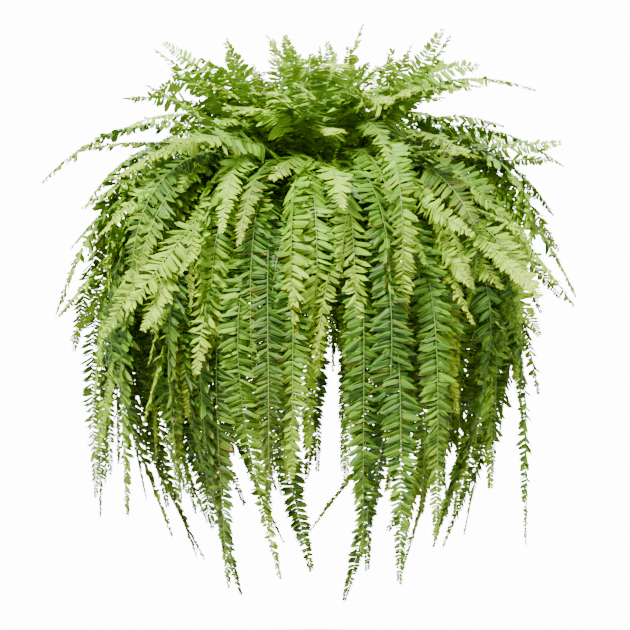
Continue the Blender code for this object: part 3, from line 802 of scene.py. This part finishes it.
def new_group(name, inputs, outputs):
    group = bpy.data.node_groups.new(name, "ShaderNodeTree")
    for label, kind, value in inputs:
        socket = group.interface.new_socket(name=label, in_out="INPUT", socket_type=kind)
        if value is not None:
            socket.default_value = value
    for label, kind in outputs:
        group.interface.new_socket(name=label, in_out="OUTPUT", socket_type=kind)
    return group, group.nodes.new("NodeGroupInput").outputs, group.nodes.new("NodeGroupOutput").inputs


mottle, given, wanted = new_group(
    "mottle", [("Vector", "NodeSocketVector", None), ("Coarse", "NodeSocketFloat", 20.0),
               ("Fine", "NodeSocketFloat", 200.0)],
    [("Patches", "NodeSocketFloat"), ("Grain", "NodeSocketFloat")])
coarse = node(mottle, "ShaderNodeTexNoise", [("Vector", given["Vector"]), ("Scale", given["Coarse"]),
                                             ("Detail", 3.0)])
fine = node(mottle, "ShaderNodeTexNoise", [("Vector", given["Vector"]), ("Scale", given["Fine"]),
                                           ("Detail", 4.0)])
mottle.links.new(ramp(mottle, coarse.outputs["Fac"], 0.3, 0.7), wanted["Patches"])
mottle.links.new(ramp(mottle, fine.outputs["Fac"], 0.3, 0.7), wanted["Grain"])

veins, given, wanted = new_group(
    "leaflet_veins", [("UV", "NodeSocketVector", None)],
    [("Midrib", "NodeSocketFloat"), ("Veins", "NodeSocketFloat"), ("Edge", "NodeSocketFloat"),
     ("End", "NodeSocketFloat")])
split = node(veins, "ShaderNodeSeparateXYZ", [(0, given["UV"])])
off_middle = math_node(veins, "ABSOLUTE", math_node(veins, "SUBTRACT", split.outputs["Y"], 0.5))
veins.links.new(math_node(veins, "SUBTRACT", 1.0, ramp(veins, off_middle, 0.03, 0.09)), wanted["Midrib"])
forked = math_node(veins, "SUBTRACT", math_node(veins, "MULTIPLY", split.outputs["X"], 15.0),
                   math_node(veins, "MULTIPLY", off_middle, 5.0))
stripe = math_node(veins, "ABSOLUTE", math_node(veins, "SUBTRACT", math_node(veins, "FRACT", forked), 0.5))
veins.links.new(math_node(veins, "SUBTRACT", 1.0, ramp(veins, stripe, 0.06, 0.20)), wanted["Veins"])
veins.links.new(ramp(veins, off_middle, 0.36, 0.5), wanted["Edge"])
veins.links.new(ramp(veins, split.outputs["X"], 0.70, 0.98), wanted["End"])


def new_finish(name):
    """A material with its tree, its Principled shader and its output, ready to be wired."""
    finish = bpy.data.materials.new(name)
    finish.use_nodes = True
    tree = finish.node_tree
    tree.nodes.clear()
    shader = tree.nodes.new("ShaderNodeBsdfPrincipled")
    output = tree.nodes.new("ShaderNodeOutputMaterial")
    tree.links.new(shader.outputs["BSDF"], output.inputs["Surface"])
    return finish, tree, shader, output


def place_mottle(tree, coarse_scale, fine_scale):
    here = node(tree, "ShaderNodeTexCoord").outputs["Object"]
    placed = node(tree, "ShaderNodeGroup", node_tree=mottle)
    tree.links.new(here, placed.inputs["Vector"])
    placed.inputs["Coarse"].default_value = coarse_scale
    placed.inputs["Fine"].default_value = fine_scale
    return placed.outputs["Patches"], placed.outputs["Grain"]


def bump(tree, shader, height, strength, distance):
    made = node(tree, "ShaderNodeBump", [("Height", height), ("Strength", strength), ("Distance", distance)])
    tree.links.new(made.outputs["Normal"], shader.inputs["Normal"])


# %% [markdown]
# ### Leaves
# A young leaflet is a soft yellow green and an old one a deep blue green; the tip of a frond is always
# younger than its foot. The underside is paler and dull. A few edges have dried to orange brown. Light
# that comes through a leaf turns yellow green, so a little translucence is mixed with the shine.

# %% Leaf material
OLD_GREEN = (0.008, 0.055, 0.002, 1)
FULL_GREEN = (0.082, 0.225, 0.002, 1)
YOUNG_GREEN = (0.290, 0.575, 0.010, 1)
TIP_GREEN = (0.480, 0.700, 0.022, 1)
DRY_BROWN = (0.420, 0.150, 0.020, 1)
UNDER_GREEN = (0.120, 0.250, 0.020, 1)
THROUGH_GREEN = (0.500, 0.620, 0.050, 1)        # the light that comes through a leaf
LEAF_GLOW = 0.24                # and its share against what the leaf reflects
LEAF_ROUGHNESS = 0.46
LEAF_SHINE = 0.32

leaf_green, tree, shader, output = new_finish("leaf_green")
look = node(tree, "ShaderNodeAttribute", attribute_name="look", attribute_type="GEOMETRY")
under = node(tree, "ShaderNodeAttribute", attribute_name="under", attribute_type="GEOMETRY")
parts = node(tree, "ShaderNodeSeparateColor", [(0, look.outputs["Color"])]).outputs
patches, grain = place_mottle(tree, 14.0, 420.0)
vein = node(tree, "ShaderNodeGroup", node_tree=veins)
tree.links.new(node(tree, "ShaderNodeUVMap", uv_map="along_leaflet").outputs["UV"], vein.inputs["UV"])
drift = faded(tree, math_node(tree, "SUBTRACT", patches, 0.5), 0.16)
tone = math_node(tree, "ADD", parts["Red"], drift)
colour = blend_colours(tree, ramp(tree, tone, 0.0, 0.5), OLD_GREEN, FULL_GREEN)
colour = blend_colours(tree, ramp(tree, tone, 0.45, 1.0), colour, YOUNG_GREEN)
youth = math_node(tree, "MULTIPLY", ramp(tree, parts["Green"], 0.62, 1.0), ramp(tree, tone, 0.1, 0.6))
colour = blend_colours(tree, faded(tree, youth, 0.85), colour, TIP_GREEN)
colour = blend_colours(tree, faded(tree, vein.outputs["Midrib"], 0.45), colour, YOUNG_GREEN)
colour = blend_colours(tree, faded(tree, vein.outputs["Veins"], 0.16), colour, YOUNG_GREEN)
colour = blend_colours(tree, faded(tree, grain, 0.12), colour, OLD_GREEN)
rim = math_node(tree, "MAXIMUM", vein.outputs["Edge"], vein.outputs["End"])
dried = math_node(tree, "MULTIPLY", math_node(tree, "MULTIPLY", rim, parts["Blue"]), 1.3, True)
colour = blend_colours(tree, dried, colour, DRY_BROWN)
colour = blend_colours(tree, faded(tree, under.outputs["Fac"], 0.45), colour, UNDER_GREEN)
tree.links.new(colour, shader.inputs["Base Color"])
rough = math_node(tree, "ADD", faded(tree, grain, 0.15),
                  math_node(tree, "ADD", LEAF_ROUGHNESS, faded(tree, under.outputs["Fac"], 0.25)))
tree.links.new(rough, shader.inputs["Roughness"])
shader.inputs["Specular IOR Level"].default_value = LEAF_SHINE
sunk = math_node(tree, "ADD", vein.outputs["Midrib"], faded(tree, vein.outputs["Veins"], 0.5))
relief = math_node(tree, "SUBTRACT", faded(tree, grain, 0.25), sunk)
bump(tree, shader, relief, 0.35, 0.0004)
glow = node(tree, "ShaderNodeBsdfTranslucent")
tree.links.new(blend_colours(tree, 0.55, colour, THROUGH_GREEN), glow.inputs["Color"])
mixed = node(tree, "ShaderNodeMixShader", [(0, LEAF_GLOW), (1, shader.outputs["BSDF"]),
                                           (2, glow.outputs["BSDF"])])
tree.links.new(mixed.outputs[0], output.inputs["Surface"])

# %% [markdown]
# ### Ribs
# A stalk is brown and woody at its foot, green in its middle and yellow green where it is young. One
# value that runs along the rib, shifted a little by the mottle, leads through the three colours, so the
# change comes at a slightly different height on each side.

# %% Rib material
STALK_BROWN = (0.060, 0.030, 0.010, 1)
RIB_GREEN = (0.120, 0.210, 0.030, 1)
RIB_TIP = (0.330, 0.420, 0.080, 1)

rib_green, tree, shader, output = new_finish("rib_green")
look = node(tree, "ShaderNodeAttribute", attribute_name="look", attribute_type="GEOMETRY")
parts = node(tree, "ShaderNodeSeparateColor", [(0, look.outputs["Color"])]).outputs
patches, grain = place_mottle(tree, 60.0, 700.0)
height_up = math_node(tree, "ADD", parts["Green"], faded(tree, patches, 0.12))
colour = blend_colours(tree, ramp(tree, height_up, 0.08, 0.45), STALK_BROWN, RIB_GREEN)
colour = blend_colours(tree, ramp(tree, height_up, 0.45, 1.0), colour, RIB_TIP)
colour = blend_colours(tree, faded(tree, grain, 0.3), colour, STALK_BROWN)
tree.links.new(colour, shader.inputs["Base Color"])
shader.inputs["Roughness"].default_value = 0.42
bump(tree, shader, grain, 0.3, 0.0003)
print("leaf and rib materials made")

# %% [markdown]
# ### Plastic, mix and scales
# The pot is black moulded plastic: satin, a little dusty towards its foot and grey with lime where water
# has run over the rim. Peat mix is dull and dark, with bark and white perlite in it. The heads and the
# feet of the stalks wear thin rust-brown scales.

# %% Pot, mix and scale materials
def plain_finish(name, dark, light, roughness, coarse_scale, fine_scale, depth):
    """A dull natural finish between two colours, with a grain of its own."""
    finish, tree, shader, _ = new_finish(name)
    patches, grain = place_mottle(tree, coarse_scale, fine_scale)
    share = math_node(tree, "MULTIPLY", math_node(tree, "ADD", patches, grain), 0.5)
    tree.links.new(blend_colours(tree, share, dark, light), shader.inputs["Base Color"])
    shader.inputs["Roughness"].default_value = roughness
    bump(tree, shader, grain, 0.6, depth)
    return finish


PLASTIC_BLACK = (0.014, 0.014, 0.015, 1)
LIME_DUST = (0.16, 0.14, 0.11, 1)

black_plastic, tree, shader, _ = new_finish("black_plastic")
patches, grain = place_mottle(tree, 22.0, 900.0)
here = node(tree, "ShaderNodeTexCoord").outputs["Object"]
up = node(tree, "ShaderNodeSeparateXYZ", [(0, here)]).outputs["Z"]
low_dust = math_node(tree, "SUBTRACT", 1.0, ramp(tree, up, BASE_Z, BASE_Z + 0.09))
rim_lime = ramp(tree, up, RIM_Z - 0.012, RIM_Z)
dust = math_node(tree, "MULTIPLY", math_node(tree, "ADD", low_dust, rim_lime), patches, True)
colour = blend_colours(tree, faded(tree, dust, 0.35), PLASTIC_BLACK, LIME_DUST)
tree.links.new(colour, shader.inputs["Base Color"])
tree.links.new(math_node(tree, "ADD", 0.34, faded(tree, dust, 0.45)), shader.inputs["Roughness"])
bump(tree, shader, grain, 0.15, 0.0002)

peat = plain_finish("peat_mix", (0.012, 0.008, 0.005, 1), (0.060, 0.038, 0.022, 1),
                    0.95, 60.0, 500.0, 0.0012)
bark = plain_finish("bark_crumb", (0.030, 0.016, 0.008, 1), (0.150, 0.080, 0.038, 1),
                    0.85, 150.0, 900.0, 0.0006)
perlite = plain_finish("perlite_grain", (0.50, 0.48, 0.43, 1), (0.80, 0.79, 0.75, 1),
                       0.9, 200.0, 1200.0, 0.0003)
scale_brown = plain_finish("scale_brown", (0.060, 0.026, 0.010, 1), (0.300, 0.140, 0.050, 1),
                           0.7, 90.0, 1500.0, 0.0003)
print("plastic, mix and scale materials made")

# %% [markdown]
# ## The pot
# A hanging pot is injection moulded: a thin tapering shell with a rolled rim, a recessed foot and three
# eyes for the hanger. It could be spun from a profile curve. Here a disc is extruded ring by ring in edit
# mode, each ring moved and resized, because that is how the same shape is drawn by hand.

# %% The pot
POT_PROFILE = [                 # radius and height of each ring, from the foot's middle to the floor inside
    (FOOT_RADIUS - 0.009, BASE_Z + 0.0025), (FOOT_RADIUS - 0.0075, BASE_Z + 0.0003),
    (FOOT_RADIUS - 0.001, BASE_Z), (FOOT_RADIUS, BASE_Z + 0.0015), (0.1147, -0.162), (0.1152, -0.1585),
    (0.1280, -0.1005), (0.1409, -0.0425), (0.1414, -0.0390), (0.1446, -0.0262), (0.1460, -0.0244),
    (0.1490, -0.0240), (0.1500, -0.0230), (0.1500, -0.0105), (0.1492, -0.0088), (0.1478, RIM_Z),
    (0.1462, -0.0086), (0.1452, -0.0102), (0.1420, -0.0240), (FOOT_RADIUS - WALL, BASE_Z + WALL + 0.002),
    (FOOT_RADIUS - WALL - 0.003, BASE_Z + WALL)]
EYE_WIDTH = 0.0036
LUG_SIZE = (0.004, 0.016, 0.018)
DRAIN_RADIUS = 0.0019
DRAINS_OUT = 0.72               # the drain holes' place, as a share of the foot's radius


def ring_by_ring(name, start, profile, sides, close):
    """A disc extruded through a profile of rings. It ends in a face when close is set, and open otherwise.
    """
    deselect()
    bpy.ops.mesh.primitive_circle_add(vertices=sides, radius=start[0], fill_type="NGON",
                                      location=(0, 0, start[1]))
    thing = bpy.context.object
    thing.name = name
    bpy.ops.object.transform_apply(location=True)
    bpy.ops.object.mode_set(mode="EDIT")
    bpy.ops.mesh.select_mode(type="EDGE")
    bpy.ops.mesh.select_all(action="SELECT")
    radius, height = start
    for next_radius, next_height in profile:
        bpy.ops.mesh.extrude_edges_move(TRANSFORM_OT_translate={"value": (0, 0, next_height - height)})
        share = next_radius / radius
        bpy.ops.transform.resize(value=(share, share, 1), center_override=(0, 0, next_height))
        radius, height = next_radius, next_height
    if close:
        bpy.ops.mesh.edge_face_add()
    bpy.ops.mesh.select_all(action="SELECT")
    bpy.ops.mesh.normals_make_consistent(inside=False)
    bpy.ops.object.mode_set(mode="OBJECT")
    return thing


def apply_modifier(thing, kind, **settings):
    deselect()
    thing.select_set(True)
    bpy.context.view_layer.objects.active = thing
    made = thing.modifiers.new(kind.lower(), kind)
    for key, value in settings.items():
        setattr(made, key, value)
    bpy.ops.object.modifier_apply(modifier=made.name)


def cut_or_join(thing, other, operation):
    apply_modifier(thing, "BOOLEAN", operation=operation, object=other, solver="EXACT")
    bpy.data.objects.remove(other)


def fix_place(thing):
    deselect()
    thing.select_set(True)
    bpy.context.view_layer.objects.active = thing
    bpy.ops.object.transform_apply(location=True, rotation=True, scale=True)


pot = ring_by_ring("pot_shell", (FOOT_RADIUS - 0.010, BASE_Z + 0.0025), POT_PROFILE, 96, True)
for eye in range(3):
    turn = math.tau * (eye + 0.25) / 3
    place = Vector((math.cos(turn), math.sin(turn), 0)) * (RIM_RADIUS - LIP_WIDTH / 2)
    deselect()
    bpy.ops.mesh.primitive_cube_add(size=1, location=place + Vector((0, 0, -0.001)), rotation=(0, 0, turn))
    lug = bpy.context.object
    lug.scale = LUG_SIZE
    fix_place(lug)
    apply_modifier(lug, "BEVEL", width=0.0012, segments=2, limit_method="ANGLE")
    bpy.ops.mesh.primitive_cylinder_add(vertices=20, radius=EYE_WIDTH / 2, depth=0.02, location=place,
                                        rotation=(0, math.pi / 2, turn))
    hole = bpy.context.object
    fix_place(hole)
    cut_or_join(lug, hole, "DIFFERENCE")
    cut_or_join(pot, lug, "UNION")
for drain in range(4):
    turn = math.tau * (drain + 0.5) / 4
    place = Vector((math.cos(turn), math.sin(turn), 0)) * FOOT_RADIUS * DRAINS_OUT + Vector((0, 0, BASE_Z))
    deselect()
    bpy.ops.mesh.primitive_cylinder_add(vertices=16, radius=DRAIN_RADIUS, depth=0.02, location=place)
    hole = bpy.context.object
    fix_place(hole)
    cut_or_join(pot, hole, "DIFFERENCE")
pot.data.materials.clear()
pot.data.materials.append(black_plastic)
smooth_by_angle(pot, 32)
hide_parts("hanging_pot")
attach(pot, "root")
print("pot faces", len(pot.data.polygons))

# %% [markdown]
# ## Potting mix
# The mix fills the pot, mounded a little round the heads. Its body is a disc extruded ring by ring to
# the mound's shape and roughened by noise, and loose crumbs of bark and perlite lie on top. A crumb is a
# small ball dented in edit mode, copied with its own size and turn.

# %% The mix and its crumbs
INNER_FOOT = FOOT_RADIUS - WALL - 0.0003
MIX_FLOOR = BASE_Z + WALL + 0.0003
MIX_EDGE = INNER_FOOT + (SOIL_EDGE_Z - MIX_FLOOR) * 0.037 / 0.169
RELIEF = 0.0016
BARK_CRUMBS, BARK_SIZES = 900, (0.003, 0.009)
PERLITE_GRAINS, PERLITE_SIZES = 160, (0.002, 0.0045)

rings = [(MIX_EDGE * share, soil_height(MIX_EDGE * share)) for share in np.linspace(1, 0.03, 22)]
mix = ring_by_ring("mix_body", (INNER_FOOT, MIX_FLOOR), rings, 90, True)
for corner in mix.data.vertices:
    reach = math.hypot(corner.co.x, corner.co.y)
    if corner.co.z > SOIL_EDGE_Z - 0.002 and reach < MIX_EDGE * 0.97:
        corner.co.z += RELIEF * noise.noise(corner.co * 90) + RELIEF * 0.6 * noise.noise(corner.co * 260)
mix.data.materials.clear()
mix.data.materials.append(peat)
smooth_by_angle(mix, 50)
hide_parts("potting_mix")
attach(mix, "root")


def model_crumb(name, seed, flat):
    """A dented lump of unit size, as corners and faces."""
    deselect()
    bpy.ops.mesh.primitive_ico_sphere_add(subdivisions=1, radius=0.5)
    crumb = bpy.context.object
    crumb.name = name
    bpy.ops.object.mode_set(mode="EDIT")
    bpy.ops.transform.resize(value=(1.0, 0.72, flat))
    shape = bmesh.from_edit_mesh(crumb.data)
    for corner in shape.verts:
        corner.co += corner.co.normalized() * 0.22 * noise.noise(corner.co * 2.5 + Vector((seed, 0, 0)))
    bmesh.update_edit_mesh(crumb.data)
    bpy.ops.object.mode_set(mode="OBJECT")
    corners = np.array([corner.co for corner in crumb.data.vertices])
    faces = np.array([face.vertices for face in crumb.data.polygons])
    bpy.data.objects.remove(crumb)
    return corners, faces


def plain_part(corners, faces, material):
    """A part for make_mesh that has no pattern of its own."""
    return dict(corners=corners, faces=faces, uv=np.zeros((len(corners), 2)),
                look=np.zeros((len(corners), 4)), under=np.zeros(len(faces)),
                material=np.full(len(faces), material))


def scatter(models, count, sizes, rng, material):
    """Copies of the models over the mix, as one part for make_mesh."""
    corners, faces, first = [], [], 0
    while len(corners) < count:
        reach = MIX_EDGE * 0.96 * math.sqrt(rng.random())
        turn = rng.uniform(0, math.tau)
        shape, sides = models[rng.integers(len(models))]
        size = rng.uniform(*sizes)
        spin = np.array(Matrix.Rotation(rng.uniform(0, math.tau), 3, "Z")
                        @ Matrix.Rotation(rng.normal(0, 0.35), 3, "X"))
        place = (reach * math.cos(turn), reach * math.sin(turn), soil_height(reach) + size * 0.12)
        corners.append(shape @ spin.T * size + np.array(place))
        faces.append(sides + first)
        first += len(shape)
    corners, faces = np.concatenate(corners), np.concatenate(faces)
    return plain_part(corners, faces, material)


rng = np.random.default_rng(31)
crumbs = [model_crumb("crumb", seed, flat) for seed, flat in ((1.3, 0.35), (4.1, 0.5), (7.7, 0.7))]
loose = make_mesh("mix_crumbs", [scatter(crumbs, BARK_CRUMBS, BARK_SIZES, rng, 0),
                                 scatter(crumbs, PERLITE_GRAINS, PERLITE_SIZES, rng, 1)],
                  [bark, perlite])
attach(loose, "root")
print("crumbs", len(loose.data.polygons) // 20)

# %% [markdown]
# ## Heads, scales and runners
# A fern's stalks rise from a short upright rhizome, covered with thin scales that also climb the feet of
# the stalks. From among them, wiry runners creep over the rim and hang down, looking for soil. The head
# is a ball drawn up in edit mode, and a scale is a sliver of four triangles. A runner follows a line that
# falls under its own weight and wanders a little as it grows.

# %% Model the head and lay scales
SCALY = 2                       # the place of the scales' material on a tuft
SCALES_ON_HEAD = 34
SCALES_ON_STALK = 5
SCALE_LENGTHS = (0.003, 0.0065)
HEAD_SIZE = (0.0054, 0.0054, 0.0056)
HEAD_SUNK = 0.002


def model_head():
    """A knobbly upright rhizome of unit radius, 2.4 high, as corners and faces."""
    deselect()
    bpy.ops.mesh.primitive_uv_sphere_add(segments=14, ring_count=9, radius=1)
    head = bpy.context.object
    bpy.ops.object.mode_set(mode="EDIT")
    bpy.ops.transform.resize(value=(1, 1, 1.9))
    shape = bmesh.from_edit_mesh(head.data)
    for corner in shape.verts:
        corner.co += corner.co.normalized() * 0.22 * noise.noise(corner.co * 1.8)
    bmesh.update_edit_mesh(head.data)
    bpy.ops.mesh.select_all(action="SELECT")
    bpy.ops.mesh.quads_convert_to_tris()
    bpy.ops.object.mode_set(mode="OBJECT")
    corners = np.array([corner.co for corner in head.data.vertices])
    faces = np.array([face.vertices for face in head.data.polygons])
    bpy.data.objects.remove(head)
    return corners, faces


head_model = model_head()
SLIVER = np.array([(-0.16, 0.0, 0.0), (0.16, 0.0, 0.0), (0.0, 0.3, 0.08), (0.0, 1.0, 0.22)])
SLIVER_FACES = np.array([(0, 2, 1), (0, 1, 3), (1, 2, 3), (2, 0, 3)])


def lay_head(foot, turn, rng):
    """One head in its hole."""
    corners, faces = head_model
    spin = np.array(Matrix.Rotation(turn, 3, "Z"))
    size = np.array(HEAD_SIZE) * rng.uniform(0.95, 1.12)
    return plain_part((corners * size) @ spin.T + np.array(foot) + [0, 0, -HEAD_SUNK], faces, SCALY)


def lay_scales(foot, stalks, rng):
    """Slivers that point up and out, over a head and along the feet of its stalks."""
    roots, ways = [], []
    for _ in range(SCALES_ON_HEAD):
        turn, height = rng.uniform(0, math.tau), rng.uniform(-0.2, 1)
        out = np.array([math.cos(turn), math.sin(turn), 0]) * math.sqrt(max(0, 1 - height ** 2))
        roots.append(np.array(foot) + out * 0.0052 + [0, 0, 0.0085 * height])
        ways.append(out * 0.8 + [0, 0, 0.75] + rng.normal(0, 0.25, 3))
    for frond in stalks:
        for share in rng.uniform(0.004, frond.bare * 0.75, SCALES_ON_STALK):
            here = frond.point(np.array([share]))[0]
            turn = rng.normal(0, 1, 3)
            roots.append(here + turn / np.linalg.norm(turn) * 0.0008)
            ways.append(frond.along(np.array([share]))[0] + turn * 0.35)
    corners, faces = [], []
    for number, (root, way) in enumerate(zip(roots, ways)):
        way = way / np.linalg.norm(way)
        side = np.cross(way, rng.normal(0, 1, 3))
        side /= np.linalg.norm(side)
        out = np.cross(side, way)
        size = rng.uniform(*SCALE_LENGTHS)
        corners.append(root + size * SLIVER @ np.array([side, way, out]))
        faces.append(SLIVER_FACES + 4 * number)
    return plain_part(np.concatenate(corners), np.concatenate(faces), SCALY)


print("corners in a head", len(head_model[0]), "and in a scale", len(SLIVER))

# %% [markdown]
# ## Stems along a line
# Runners and furled fronds are both thin round stems along a free line, one falling and one coiled. A
# bevelled curve would do, but it has one width law and can't be merged with the arrays of a tuft. So a
# ring of corners is laid square to the line at each of its points, with a radius for each point.

# %% Sweep a tapering stem along a line
def sweep(line, radii, sides, tone, start, material):
    """A closed tube along a line of points, as one part for make_mesh."""
    line = np.array(line)
    ways = unit(np.gradient(line, axis=0))
    side = unit(np.cross(ways, np.array([0.31, 0.27, 0.91])))
    out = np.cross(side, ways)
    turns = np.arange(sides) * math.tau / sides
    ring = np.cos(turns)[None, :, None] * side[:, None] + np.sin(turns)[None, :, None] * out[:, None]
    corners = line[:, None] + ring * np.array(radii)[:, None, None]
    faces = []
    for step in range(len(line) - 1):
        for corner in range(sides):
            after = (corner + 1) % sides
            a, b = step * sides + corner, step * sides + after
            faces += [(a, b + sides, b), (a, a + sides, b + sides)]
    last = (len(line) - 1) * sides
    for corner in range(1, sides - 1):
        faces += [(0, corner, corner + 1), (last, last + corner + 1, last + corner)]
    share = np.repeat(np.linspace(start, 1, len(line)), sides)
    look = np.stack([np.full_like(share, tone), share, np.zeros_like(share), np.ones_like(share)], -1)
    return dict(corners=corners.reshape(-1, 3), faces=np.array(faces), look=look,
                uv=np.stack([share, np.tile(turns, len(line))], -1), under=np.zeros(len(faces)),
                material=np.full(len(faces), material))


# %% [markdown]
# ## Runners and croziers
# A runner is a wiry stem that looks for new soil: it creeps over the rim and then falls, wandering a
# little with every step. A crozier is a frond before it opens, rolled up like a watch spring. Both follow
# what the plant does, step by step, and a spiral needs only its angle and a radius that shrinks.

# %% Runners and croziers
RUNNERS_HANG = (0.10, 0.30)
RUNNER_STEP = 0.008
RUNNER_RADII = (0.0008, 0.00035)
CREEP_TO = (0.160, 0.005)       # the radius and height that a runner makes for before it hangs
CROZIERS = 2                    # on each head of the two inner rings
CROZIER_HEIGHTS = (0.045, 0.11)
COIL_SIZE = 0.0065
COIL_TURNS = 1.7


def lay_runner(foot, turn, rng):
    """A wiry runner that creeps over the rim and then hangs."""
    here = np.array(foot) + [0, 0, HEAD_RISE * 0.4]
    heading, lift = turn + rng.normal(0, 0.15), 0.3
    line = [here]
    far, high = CREEP_TO
    over = np.array([math.cos(heading) * far, math.sin(heading) * far, high])
    for _ in range(int((0.05 + rng.uniform(*RUNNERS_HANG)) / RUNNER_STEP)):
        if math.hypot(here[0], here[1]) < far - 0.003:
            way = unit(over - here)
        else:
            lift += (math.radians(-86) - lift) * 0.22 + rng.normal(0, 0.10)
            heading += rng.normal(0, 0.16)
            way = np.array([math.cos(lift) * math.cos(heading), math.cos(lift) * math.sin(heading),
                            math.sin(lift)])
        here = here + way * RUNNER_STEP
        line.append(here)
    return sweep(line, np.linspace(*RUNNER_RADII, len(line)), 5, 0.35, 0.0, 1)


def lay_crozier(foot, rng):
    """A young frond that is still furled: a stem with a coil at its end, knobbly with folded leaflets."""
    turn, tall = rng.uniform(0, math.tau), rng.uniform(*CROZIER_HEIGHTS)
    out = np.array([math.cos(turn), math.sin(turn), 0])
    up = np.array([0, 0, 1.0])
    stem = np.linspace(0, 1, 12)[:, None]
    start = np.array(foot) + up * HEAD_RISE * 0.5 + out * 0.002
    line = start + stem * up * tall + stem ** 2 * out * tall * rng.uniform(0.05, 0.4)
    coil = np.linspace(0, 1, 26)[1:, None]
    size = COIL_SIZE * rng.uniform(0.8, 1.2)
    angle = coil * math.tau * COIL_TURNS
    radius = size * (1 - 0.8 * coil)
    spiral = line[-1] + out * size - out * radius * np.cos(angle) + up * radius * np.sin(angle)
    spiral = spiral + np.cross(out, up) * coil * 0.0015
    line = np.concatenate([line, spiral])
    radii = np.where(np.arange(len(line)) % 2, 0.0012, 0.0008)
    radii[:11] = np.linspace(0.0014, 0.0010, 11)
    radii[-1] = 0.0004
    return sweep(line, radii, 6, 0.6, 0.2, 1)


print("a runner hangs", RUNNERS_HANG, "and a crozier stands", CROZIER_HEIGHTS, "metres")

# %% [markdown]
# ## Dressing each tuft
# Every tuft of the part is one head with its fronds, so it is replaced by one finer piece of the same
# form: leaflets, ribs and head together. The lowest fronds are the oldest and darkest, and the tuft's
# own tone drifts from them to the pale young fronds of the heart.

# %% Tufts
RING_TONE = {"outer": 0.30, "second": 0.44, "inner": 0.55, "heart": 0.60}
TONE_SPREAD = 0.17
LAYER_TONE = 0.05               # how much paler each layer is than the one below
MAIN_STEPS, YOUNG_STEPS = 20, 14
tufts = []
triangles = 0
for name, ring, foot, turn in head_places():
    parts = []
    borne = [(frond, LAYER_TONE * (layer - MIDDLE_LAYER), True) for layer, frond in fronds[name]]
    borne += [(frond, shift, False) for frond, shift in younger[name]]
    for number, (frond, shift, main) in enumerate(borne):
        rng = np.random.default_rng([ord(letter) for letter in f"{name} {number}"])
        tone = float(np.clip(RING_TONE[ring] + shift + rng.normal(0, TONE_SPREAD), 0.03, 0.97))
        dryness = rng.uniform(0, 1) ** 4
        shapes = models if main else (slim_leaflet, slim_leaflet, tiny_leaflet)
        parts += lay_leaflets(frond, tone, dryness, shapes, rng)
        parts.append(lay_rib(frond, tone, MAIN_STEPS if main else YOUNG_STEPS))
    rng = np.random.default_rng([ord(letter) for letter in f"{name} head"])
    parts.append(lay_head(foot, turn, rng))
    parts.append(lay_scales(foot, [frond for frond, _, _ in borne], rng))
    if ring == "outer":
        parts.append(lay_runner(foot, turn, rng))
    elif ring != "second":
        parts += [lay_crozier(foot, rng) for _ in range(CROZIERS)]
    tuft = make_mesh(name.replace("tuft", "fronds"), parts, [leaf_green, rib_green, scale_brown])
    smooth_by_angle(tuft, 62)
    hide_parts(name)
    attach(tuft, "root")
    tufts.append(tuft)
    triangles += len(tuft.data.polygons)
print("tufts", len(tufts), "triangles", triangles, "most in one", max(len(t.data.polygons) for t in tufts))
